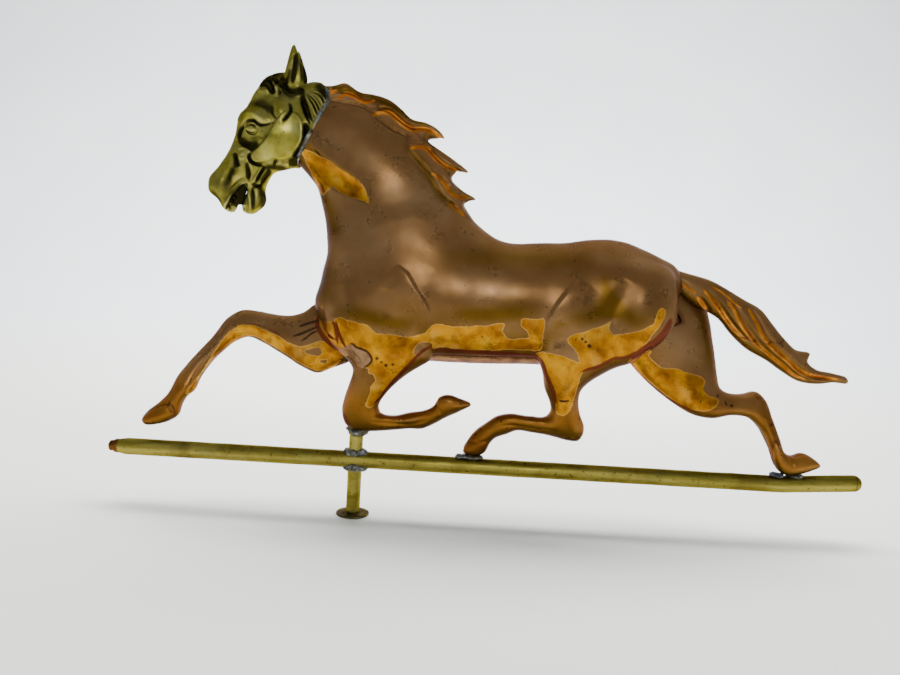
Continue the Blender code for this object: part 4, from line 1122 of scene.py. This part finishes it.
def spun(profile, sides=64):
    """Rings about +Z through (radius, height) points, and the tips of the open ends."""
    angles = 2 * math.pi * np.arange(sides) / sides
    rings = [np.stack([r * np.cos(angles), r * np.sin(angles), np.full(sides, h)], axis=1)
             for r, h in profile if r > 0]
    tips = [(0, 0, h) if r == 0 else None for r, h in (profile[0], profile[-1])]
    return np.array(rings), tips


def arc(centre, radius, start, end, steps=6):
    """Points on a quarter or other part of a circle, in (radius, height) of a profile."""
    angles = np.radians(np.linspace(start, end, steps))
    return [(centre[0] + radius * math.cos(a), centre[1] + radius * math.sin(a)) for a in angles]


def along_perch(points):
    """Lay a piece spun about +Z along the perch, and lift it past the perch's bend."""
    laid = np.stack([points[:, 2], points[:, 1], PERCH_AXIS - points[:, 0]], axis=1)
    laid[:, 2] += np.maximum(laid[:, 0] - PERCH_BEND, 0) * math.tan(BEND_RISE)
    return laid


def spun_piece(name, profile, finish, node, dent, body="vane", lay=None, seed=20):
    """A turned piece with small dents, standing on the spindle or laid along the perch."""
    rings, tips = spun(profile)
    points, faces = loft(rings, tips=tips)
    if lay is not None:
        points = lay(points)
    data = mesh_from(points, faces, name)
    press(data, dent * (0.7 * lumpy(points, 34, seed) + 0.3 * lumpy(points, 9, seed + 1)))
    finish_piece(data, name, finish, node, 0, body)
    data.set_sharp_from_angle(angle=math.radians(40))


def stations(start, end, step):
    """Even places from start to end, about a step apart."""
    return np.linspace(start, end, max(2, round(abs(end - start) / step)))


def make_perch_pieces():
    """The tube with its tapered nose, the stepped plug in its front and the cap at its rear."""
    radius, bore = PERCH_RADIUS, PERCH_RADIUS - PERCH_WALL
    front, rear = PERCH_FRONT, PERCH_REAR
    nose = 10.0
    tube = [(bore - 1.4, front + 4), (bore - 1.4, front + 0.4)]
    tube += arc((radius - 1.9, front + 0.5), 0.5, 180, 300, 4)
    tube += [(radius - 0.9, front + 3.5), (radius - 0.25, front + 7)]
    tube += [(radius, x) for x in stations(front + nose, rear - 0.6, 5)]
    tube += arc((radius - 0.6, rear - 0.6), 0.6, 20, 90, 4)
    tube += [(bore, rear - 0.2), (bore, rear - 4)]
    spun_piece("perch_outside", tube, tube_brass(), "perch_tube", 0.16, lay=along_perch)

    face = front - 0.3
    plug = [(bore - 1.8, front + 8), (bore - 1.8, face)]
    plug += arc((7.3, face - 0.7), 0.6, 80, 0, 4) + arc((7.0, face - 4.1), 0.7, 0, -80, 4)
    plug += [(6.2, face - 4.9), (6.0, face - 5.4)]
    plug += arc((5.3, face - 9.4), 0.8, 0, -70, 4)
    plug += [(4.6, face - 10.9), (2.4, face - 11.2), (0, face - 11.1)]
    spun_piece("front_plug", plug, end_copper(), "perch_plug_front", 0.12,
               lay=along_perch, seed=24)

    seat = rear + 0.35
    cap = [(bore - 0.4, rear - 8), (bore - 0.4, seat)]
    cap += arc((radius - 0.5, seat + 0.5), 0.5, -90, 0, 4)
    cap += [(radius * math.cos(a), seat + 0.6 + 8.4 * math.sin(a)) for a in np.radians(np.arange(10, 90, 9))]
    cap += [(0, seat + 9.0)]
    spun_piece("rear_cap", cap, tube_brass(), "perch_cap_rear", 0.18, lay=along_perch,
               seed=27)


def make_post_pieces():
    """The upright tube and the foot disc, with their edges rounded."""
    radius, bore, edge = POST_RADIUS, POST_RADIUS - POST_WALL, 0.5
    post = [(bore, POST_FOOT + 8), (bore, POST_FOOT + 0.3)]
    post += arc((radius - edge, POST_FOOT + edge), edge, -90, 0, 4)
    post += [(radius, z) for z in stations(POST_FOOT + 2, POST_TOP - 2, 4)]
    post += arc((radius - edge, POST_TOP - edge), edge, 0, 90, 4)
    post += [(bore, POST_TOP), (bore, POST_TOP - 6)]
    spun_piece("post_outside", post, tube_brass(), "post_tube", 0.12, seed=30)

    disc, thick, edge = DISC_RADIUS, DISC_THICKNESS, 0.7
    plate = [(0, 0), (disc - 5, 0.0)]
    plate += arc((disc - edge, edge), edge, -90, 0, 4) + arc((disc - edge, thick - edge), edge, 0, 90, 4)
    plate += [(disc - 3.5, thick - 0.15), (disc - 7, thick + 0.05)]
    plate += [(SPINDLE_RADIUS + 1.5, thick + 0.1), (0, thick + 0.1)]
    spun_piece("foot_disc", plate, dull_bronze(), "base_disc", 0.08, "spindle", seed=33)


def solder_field(block, lumps, seed):
    """Merged lumps with an uneven skin: (centre, radii) of each."""
    field = np.full((len(block.x), len(block.y), len(block.z)), 50.0)
    for centre, radii in lumps:
        field = blend(field, block.ball(centre, radii), 2.0)
    grid = np.stack(np.meshgrid(block.x, block.y, block.z, indexing="ij"), axis=-1).reshape(-1, 3)
    skin = 0.45 * lumpy(grid, 8, seed) + 0.22 * lumpy(grid, 3.2, seed + 1)
    return field + skin.reshape(field.shape)


def solder_piece(name, lumps, node, seed, finish=None):
    """A piece of merged lumps, each a (centre, radii), kept whole round the first one."""
    centres, radii = (np.array(column, float) for column in zip(*lumps))
    margin = 2.5
    low, high = (centres - radii).min(axis=0) - margin, (centres + radii).max(axis=0) + margin
    block = Block(low, high, SOLDER_CELL)
    data = mesh_from(*block.surface(solder_field(block, lumps, seed)), name)
    keep_part_near(data, centres[0] + (0, 0, radii[0][2]))
    finish_piece(data, name, finish or solder(), node, 0)


def make_solder_pieces():
    """Lumps where legs, post and perch are soldered together."""
    knee = [((2, 0, 98), (11.5, 10, 4.2)), ((9, -4, 99.5), (6, 6, 3.4)), ((-5, 2, 99.5), (7, 7, 3.4)),
            ((2, 0, 94.5), (9.4, 9.2, 3.2)), ((1, -7, 96), (5, 3, 3.2))]
    solder_piece("knee_solder", knee, "solder_knee", 41)
    for name, side, node in (("upper_fillet", 1, "solder_post_top"),
                             ("lower_fillet", -1, "solder_post_bottom")):
        top = PERCH_AXIS + side * 0.8 * PERCH_RADIUS
        ring = []
        for a in np.radians(np.arange(0, 360, 40)):
            height = top + side * (1.6 - 1.8 * math.sin(a)**2)
            ring.append(((9.6 * math.cos(a), 7.6 * math.sin(a), height), (4.4, 3.4, 3.4)))
        ring += [((0, 0, top + side * 3.4), (9.2, 9.2, 3.4)), ((11.5, -2, top - side * 0.2), (4.2, 4, 2.0))]
        solder_piece(name, ring, node, 45 + side)
    near_hoof = [((131, 0, PERCH_TOP + 1.4), (14, 7.5, 2.8)), ((121, -2, PERCH_TOP + 1.4), (5, 5, 2.6)),
                 ((140, -3, PERCH_TOP + 1.8), (5.5, 4.5, 2.8))]
    solder_piece("near_hoof_solder", near_hoof, "solder_hoof_left", 51)
    far_hoof = [((505.5, 0, PERCH_TOP + 1.8), (9.5, 7.5, 3.2)), ((509, -3, PERCH_TOP + 1.5), (4.5, 4, 2.8))]
    solder_piece("far_hoof_solder", far_hoof, "solder_hoof_right", 55)
    pad = [((487, 0, PERCH_TOP + 1.3), (8, 8, 3.0)), ((482, -3, PERCH_TOP + 1.8), (4, 4, 2.6))]
    solder_piece("hoof_rest", pad, "hoof_pad", 59, pad_grey())


def finish_hidden_nodes():
    """Materials for the bearing pieces inside the post, which keep their CAD shape."""
    for node, finish in (("spindle_rod", spindle_steel), ("thrust_ball", spindle_steel),
                         ("bearing_cup", tube_brass), ("lower_bush", tube_brass)):
        for slot in bpy.data.objects[node].material_slots:
            slot.material = finish()


# ------------------------------------------------------------------ materials

def shader_of(made):
    return made.node_tree.nodes["Principled BSDF"]


def new_material(name, colour, roughness, metallic=1.0, edge=(1, 1, 1)):
    """A principled material; the edge colour tints a metal's reflection at a low angle."""
    made = bpy.data.materials.new(name)
    made.use_nodes = True
    shader = shader_of(made)
    shader.inputs["Base Color"].default_value = (*colour, 1)
    shader.inputs["Roughness"].default_value = roughness
    shader.inputs["Metallic"].default_value = metallic
    shader.inputs["Specular Tint"].default_value = (*edge, 1)
    return made


def add_node(tree, kind, inputs=None, **settings):
    """A node with these settings, each input linked to a socket or set to a value."""
    node = tree.nodes.new(kind)
    for key, value in settings.items():
        setattr(node, key, value)
    for key, value in (inputs or {}).items():
        if isinstance(value, bpy.types.NodeSocket):
            tree.links.new(value, node.inputs[key])
        else:
            node.inputs[key].default_value = value
    return node


def noise(tree, scale, detail=4.0, roughness=0.55, stretch=(1, 1, 1), distortion=0.0):
    """Noise fixed to the object; a stretch below one draws it out along that axis."""
    place = add_node(tree, "ShaderNodeTexCoord").outputs["Object"]
    mapped = add_node(tree, "ShaderNodeMapping", {"Vector": place, "Scale": stretch}).outputs["Vector"]
    return add_node(tree, "ShaderNodeTexNoise", {"Vector": mapped, "Scale": scale, "Detail": detail,
                                                 "Roughness": roughness,
                                                 "Distortion": distortion}).outputs["Fac"]


def ramp(tree, value, *stops):
    """A colour ramp through (place, colour) stops; colours may be plain greys."""
    node = add_node(tree, "ShaderNodeValToRGB", {"Fac": value})
    band = node.color_ramp
    while len(band.elements) < len(stops):
        band.elements.new(0.5)
    for element, (place, colour) in zip(band.elements, stops):
        element.position = place
        element.color = (*colour, 1) if isinstance(colour, tuple) else (colour, colour, colour, 1)
    return node.outputs["Color"]


def mix(tree, factor, a, b):
    """Colour a, or colour b where the factor is one; each a socket or three numbers."""
    sockets = {0: factor}
    for key, value in ((6, a), (7, b)):
        sockets[key] = value if isinstance(value, bpy.types.NodeSocket) else (*value, 1)
    return add_node(tree, "ShaderNodeMix", sockets, data_type="RGBA").outputs[2]


def layer(tree, under, over, value, start, end, strength=1.0):
    """Lay one colour over another as a value rises from start to end, up to a strength."""
    return mix(tree, ramp(tree, value, (start, 0.0), (end, strength)), under, over)


def math_node(tree, operation, a, b=0.0):
    return add_node(tree, "ShaderNodeMath", {0: a, 1: b}, operation=operation).outputs[0]


def attribute(tree, name):
    """A number that mark() stored at each point."""
    return add_node(tree, "ShaderNodeAttribute", attribute_name=name).outputs["Fac"]


def wandering(tree, scale, reach):
    """Noise about zero, to make a border wander by up to about the reach either way."""
    centred = math_node(tree, "SUBTRACT", noise(tree, scale, 4, 0.6), 0.5)
    return math_node(tree, "MULTIPLY", centred, 2 * reach)


def bump(tree, height, strength, distance):
    return add_node(tree, "ShaderNodeBump", {"Height": height, "Strength": strength,
                                             "Distance": distance}).outputs["Normal"]


def dress(made, colour, gloss=None, grain=None):
    """Link a material's colour, roughness and normal, and give back the material."""
    for name, socket in (("Base Color", colour), ("Roughness", gloss), ("Normal", grain)):
        if socket is not None:
            made.node_tree.links.new(socket, shader_of(made).inputs[name])
    return made


def once(make):
    """Build a material on first use and share it afterwards."""
    kept = []

    def shared():
        if not kept:
            kept.append(make())
        return kept[0]
    return shared


@once
def copper():
    """Brown lacquered patina, worn to mottled gold below, with red oxide and dirt in the folds; painted
    shade darkens the undersides and hollows, and painted highlight lightens the hair's grooves and, together
    with rubbing, the high places.
    """
    made = new_material("patinated_copper_look", (0.3, 0.16, 0.07), 0.32, 0.75, (0.26, 0.15, 0.07))
    tree, shader = made.node_tree, shader_of(made)
    shader.inputs["Specular IOR Level"].default_value = 0.3
    shader.inputs["Coat Weight"].default_value = 0.1
    shader.inputs["Coat Roughness"].default_value = 0.28

    # The lacquer: brown, redder on the legs. Painted shade: olive where the surface faces down and along the
    # painted shade strokes.
    cloud, fine = noise(tree, 16, 5), noise(tree, 70, 4)
    brown = ramp(tree, cloud, (0.3, (0.130, 0.060, 0.016)), (0.5, (0.178, 0.090, 0.032)),
                 (0.7, (0.225, 0.124, 0.054)))
    leg = ramp(tree, cloud, (0.3, (0.13, 0.042, 0.003)), (0.5, (0.20, 0.078, 0.009)),
               (0.72, (0.26, 0.115, 0.022)))
    brown = mix(tree, attribute(tree, "low"), brown, leg)
    olive = ramp(tree, cloud, (0.3, (0.070, 0.031, 0.0)), (0.7, (0.120, 0.060, 0.001)))
    dull = math_node(tree, "MAXIMUM", attribute(tree, "under"), attribute(tree, "painted_shade"))
    brown = layer(tree, brown, olive, dull, 0.05, 0.85, 0.95)

    # Worn patches: mottled gold with a pale rim, and pink bare metal.
    gold = ramp(tree, noise(tree, 36, 6, 0.62, distortion=0.4), (0.30, (0.115, 0.036, 0.0)),
                (0.43, (0.25, 0.090, 0.0)), (0.55, (0.42, 0.170, 0.0)), (0.70, (0.54, 0.26, 0.004)))
    gold = layer(tree, gold, (0.54, 0.30, 0.06), noise(tree, 22, 3), 0.54, 0.70, 0.6)
    gold = layer(tree, gold, (0.15, 0.060, 0.002), fine, 0.52, 0.66, 0.65)
    border = math_node(tree, "ADD", attribute(tree, "bright"), wandering(tree, 90, 0.10))
    colour = layer(tree, brown, gold, border, 0.0, 0.035)
    rim = ramp(tree, border, (0.0, 0.0), (0.02, 0.6), (0.07, 0.0))
    colour = mix(tree, rim, colour, (0.60, 0.34, 0.08))
    pink = ramp(tree, fine, (0.35, (0.13, 0.062, 0.026)), (0.6, (0.29, 0.162, 0.082)))
    bare = math_node(tree, "ADD", attribute(tree, "pink"), wandering(tree, 110, 0.06))
    colour = layer(tree, colour, pink, bare, 0.0, 0.04)

    # Relief: painted sheen in the hair's grooves, painted shade in the hollows, and a paler colour on the
    # high places that is partly rubbed wear and partly painted highlight.
    painted_groove_sheen = ramp(tree, fine, (0.3, (0.22, 0.050, 0.003)), (0.55, (0.44, 0.140, 0.010)),
                (0.75, (0.66, 0.28, 0.045)))
    colour = layer(tree, colour, painted_groove_sheen, attribute(tree, "groove"), 0.10, 0.34)
    hollow = attribute(tree, "hollow")
    colour = layer(tree, colour, (0.105, 0.036, 0.006), hollow, 0.2, 0.8, 0.75)
    proud = math_node(tree, "MULTIPLY", hollow, -1.0)
    colour = layer(tree, colour, (0.48, 0.30, 0.16), proud, 0.25, 0.9, 0.6)

    # Lines: dark seams, red oxide, ink-like dirt and fine specks.
    seam = math_node(tree, "ABSOLUTE", attribute(tree, "seam"))
    colour = mix(tree, ramp(tree, seam, (0.03, 0.8), (0.11, 0.0)), colour, (0.075, 0.018, 0.005))
    uneven = math_node(tree, "ADD", wandering(tree, 60, 0.6), 1.0)
    rust = math_node(tree, "MULTIPLY", attribute(tree, "rust"), uneven)
    colour = layer(tree, colour, (0.095, 0.015, 0.004), rust, 0.35, 0.75, 0.95)
    colour = layer(tree, colour, (0.025, 0.010, 0.004), attribute(tree, "ink"), 0.35, 0.75, 0.95)
    colour = layer(tree, colour, (0.05, 0.022, 0.008), noise(tree, 380, 2, 0.5), 0.76, 0.82, 0.25)
    gloss = ramp(tree, noise(tree, 45, 6), (0.3, 0.24), (0.7, 0.40))
    return dress(made, colour, gloss, bump(tree, noise(tree, 120, 4), 0.12, 0.001))


@once
def antique_brass():
    """Cast brass, greenish gold, paler on the high places and nearly black in the recesses: painted
    highlight and painted shade.
    """
    made = new_material("antique_brass_look", (0.5, 0.4, 0.15), 0.33, 0.95, (0.32, 0.28, 0.12))
    tree = made.node_tree
    colour = ramp(tree, noise(tree, 38, 5), (0.3, (0.165, 0.140, 0.016)), (0.5, (0.285, 0.250, 0.042)),
                  (0.72, (0.43, 0.385, 0.120)))
    # Painted shade: nearly black where the relief is sunk and in the hollows; painted highlight: paler gold
    # on the high places.
    sunk = math_node(tree, "ADD", attribute(tree, "sunk"), wandering(tree, 120, 0.12))
    colour = layer(tree, colour, (0.020, 0.016, 0.005), sunk, 0.12, 0.55)
    hollow = math_node(tree, "ADD", attribute(tree, "hollow"), wandering(tree, 150, 0.15))
    colour = layer(tree, colour, (0.030, 0.024, 0.007), hollow, 0.12, 0.7, 0.92)
    proud = math_node(tree, "MULTIPLY", hollow, -1.0)
    colour = layer(tree, colour, (0.60, 0.53, 0.18), proud, 0.25, 0.9, 0.85)
    # Partly dark patina and partly painted shade: near black along the head's shade strokes, most of all in
    # the open mouth.
    shade = math_node(tree, "ADD", attribute(tree, "shade"), wandering(tree, 110, 0.2))
    shade = ramp(tree, shade, (0.22, 0.0), (0.80, 0.94))
    colour = mix(tree, shade, colour, (0.012, 0.010, 0.003))
    colour = layer(tree, colour, (0.10, 0.085, 0.022), noise(tree, 24, 4), 0.52, 0.68, 0.55)
    colour = layer(tree, colour, (0.04, 0.035, 0.012), noise(tree, 420, 2, 0.5), 0.66, 0.72, 0.6)
    gloss = mix(tree, shade, ramp(tree, noise(tree, 60, 5), (0.3, 0.27), (0.7, 0.42)), (0.62, 0.62, 0.62))
    return dress(made, colour, gloss, bump(tree, noise(tree, 160, 4), 0.2, 0.0006))


@once
def tube_brass():
    """Drawn tube gone greenish gold, with lengthwise streaks, dull brown runs and dark specks."""
    made = new_material("tube_brass_look", (0.3, 0.25, 0.05), 0.36, 0.95, (0.30, 0.26, 0.10))
    tree = made.node_tree
    streak = noise(tree, 60, 5, 0.6, stretch=(0.12, 1, 1))
    colour = ramp(tree, streak, (0.3, (0.150, 0.120, 0.015)), (0.5, (0.245, 0.200, 0.034)),
                  (0.72, (0.35, 0.295, 0.072)))
    colour = layer(tree, colour, (0.115, 0.078, 0.014), noise(tree, 14, 5, 0.65), 0.50, 0.66, 0.75)
    green = noise(tree, 30, 4, 0.6, stretch=(0.4, 1, 1))
    colour = layer(tree, colour, (0.10, 0.125, 0.045), green, 0.58, 0.70, 0.5)
    colour = layer(tree, colour, (0.030, 0.022, 0.006), noise(tree, 260, 3, 0.6), 0.62, 0.68, 0.8)
    gloss = ramp(tree, noise(tree, 50, 6), (0.3, 0.26), (0.7, 0.48))
    grain = bump(tree, noise(tree, 90, 5, 0.6, stretch=(0.3, 1, 1)), 0.25, 0.0008)
    return dress(made, colour, gloss, grain)


@once
def solder():
    """Lead solder: blue-grey and lumpy, with bright rubbed specks and black flux in the dips."""
    made = new_material("solder_look", (0.3, 0.31, 0.32), 0.45, 0.85, (0.5, 0.5, 0.5))
    tree = made.node_tree
    colour = ramp(tree, noise(tree, 150, 5, 0.65), (0.35, (0.022, 0.024, 0.025)),
                  (0.52, (0.135, 0.138, 0.125)), (0.70, (0.38, 0.38, 0.34)))
    colour = layer(tree, colour, (0.13, 0.115, 0.055), noise(tree, 60, 4), 0.52, 0.66, 0.7)
    gloss = ramp(tree, noise(tree, 200, 4), (0.3, 0.3), (0.7, 0.6))
    return dress(made, colour, gloss, bump(tree, noise(tree, 220, 5, 0.65), 0.6, 0.0012))


@once
def end_copper():
    """The stepped plug at the perch's front end: dark brown copper, rubbed orange on its edges."""
    made = new_material("end_copper_look", (0.25, 0.1, 0.03), 0.38, 0.95, (0.28, 0.14, 0.06))
    tree = made.node_tree
    colour = ramp(tree, noise(tree, 90, 5, 0.6), (0.3, (0.075, 0.030, 0.008)), (0.5, (0.17, 0.070, 0.018)),
                  (0.72, (0.34, 0.165, 0.05)))
    gloss = ramp(tree, noise(tree, 120, 4), (0.3, 0.3), (0.7, 0.5))
    return dress(made, colour, gloss, bump(tree, noise(tree, 200, 4), 0.3, 0.0006))


@once
def dull_bronze():
    """The foot disc: dull brown with rubbed brassy patches."""
    made = new_material("dull_bronze_look", (0.12, 0.1, 0.05), 0.5, 0.9, (0.25, 0.2, 0.1))
    tree = made.node_tree
    colour = ramp(tree, noise(tree, 70, 6, 0.65), (0.3, (0.055, 0.044, 0.016)), (0.5, (0.105, 0.088, 0.036)),
                  (0.7, (0.22, 0.185, 0.075)))
    gloss = ramp(tree, noise(tree, 90, 5), (0.3, 0.38), (0.7, 0.6))
    return dress(made, colour, gloss, bump(tree, noise(tree, 150, 5), 0.3, 0.0008))


@once
def spindle_steel():
    """The hidden rod and ball: plain grey steel."""
    made = new_material("spindle_steel_look", (0.4, 0.4, 0.4), 0.35)
    tree = made.node_tree
    colour = ramp(tree, noise(tree, 90, 5, 0.6), (0.3, (0.20, 0.19, 0.17)), (0.7, (0.46, 0.45, 0.43)))
    return dress(made, colour, grain=bump(tree, noise(tree, 300, 3), 0.15, 0.0004))


@once
def pale_paper():
    """The floor: warm white at the ground, a cooler grey higher up the bowl."""
    made = new_material("pale_floor", (0.9, 0.9, 0.88), 0.6, 0.0)
    tree = made.node_tree
    wall = ramp(tree, noise(tree, 3, 3), (0.3, (0.565, 0.585, 0.595)), (0.7, (0.60, 0.61, 0.61)))
    place = add_node(tree, "ShaderNodeTexCoord").outputs["Object"]
    height = add_node(tree, "ShaderNodeSeparateXYZ", {"Vector": place}).outputs["Z"]
    return dress(made, layer(tree, (0.575, 0.565, 0.525), wall, height, 0.0, 0.12))


@once
def pad_grey():
    """The dark grey pad under the far hind hoof, slightly blue and dusty."""
    made = new_material("pad_grey_look", (0.05, 0.055, 0.07), 0.55, 0.0)
    tree = made.node_tree
    colour = ramp(tree, noise(tree, 160, 5, 0.6), (0.3, (0.012, 0.013, 0.018)), (0.6, (0.050, 0.056, 0.072)),
                  (0.8, (0.14, 0.15, 0.17)))
    return dress(made, colour, grain=bump(tree, noise(tree, 240, 4), 0.4, 0.0006))


# ------------------------------------------------------------------ light, stage, camera

def make_stage():
    """A pale floor that curves up on every side into a low bowl."""
    flat, bend, rim, drop = 1.35, 1.3, 2.6, 0.0002
    profile = [(flat * i / 6, -drop) for i in range(6)]
    for i in range(13):
        a = math.pi / 2 * i / 12
        profile.append((flat + bend * math.sin(a), bend * (1 - math.cos(a)) - drop))
    profile.append((flat + bend, rim))
    rings, tips = spun(profile, 96)
    points, faces = loft(rings, tips=tips)
    faces = [face[::-1] for face in faces]
    data = mesh_from(points + (0.1, 0, 0), faces, "studio_floor")
    data.shade_smooth()
    data.materials.append(pale_paper())
    add_object("studio_floor", data)


def add_area(name, place, target, size, power, colour, spread, mirrored=True):
    """An area light aimed at a target; an unmirrored one lights without showing in the metal."""
    light = bpy.data.lights.new(name, "AREA")
    light.shape, light.size, light.size_y = "RECTANGLE", size[0], size[1]
    light.energy, light.color = power, colour
    light.spread = math.radians(spread)
    lamp = add_object(name, light)
    lamp.location = place
    direction = Vector(target) - Vector(place)
    lamp.rotation_euler = direction.to_track_quat("-Z", "Y").to_euler()
    lamp.visible_glossy = mirrored


def make_light():
    """Two broad lights for the bowl, a small one whose reflection gives soft spots, and grey air."""
    add_area("overhead", (0.1, 0.55, 1.9), (0.1, 0.75, 0.2), (2.6, 1.2), 132, (0.95, 0.975, 1.0), 130,
             mirrored=False)
    add_area("window", (0.25, -1.8, 0.7), (0.1, 0, 0.25), (0.6, 0.6), 2.2, (0.93, 0.96, 1.0), 90)
    add_area("backdrop_wash", (0.1, 0.9, 1.9), (0.1, 2.4, 0.7), (2.6, 0.8), 100, (0.95, 0.98, 1.0), 130,
             mirrored=False)
    world = bpy.data.worlds.new("studio")
    bpy.context.scene.world = world
    world.use_nodes = True
    back = world.node_tree.nodes["Background"]
    back.inputs["Color"].default_value = (0.86, 0.90, 0.94, 1)
    back.inputs["Strength"].default_value = 0.36


def make_camera():
    """The camera looks along +Y, tilted down a little and rolled."""
    tilt, roll = math.radians(4.0), math.radians(3.35)
    right = (math.cos(roll), math.sin(roll) * math.sin(tilt), math.sin(roll) * math.cos(tilt))
    up = (-math.sin(roll), math.cos(roll) * math.sin(tilt), math.cos(roll) * math.cos(tilt))
    back = (0, -math.cos(tilt), math.sin(tilt))
    data = bpy.data.cameras.new("camera")
    data.sensor_width, data.lens = 36, 27.04
    data.clip_start, data.clip_end = 0.05, 30
    camera = add_object("camera", data)
    frame_axes = Matrix((right, up, back)).transposed().to_4x4()
    frame_axes.translation = [c * MM for c in CAMERA_PLACE]
    camera.matrix_world = frame_axes
    bpy.context.scene.camera = camera


def main():
    make_camera()
    make_stage()
    make_light()
    ring = make_horse()
    make_neck_solder(ring)
    make_head()
    make_perch_pieces()
    make_post_pieces()
    make_solder_pieces()
    finish_hidden_nodes()


main()
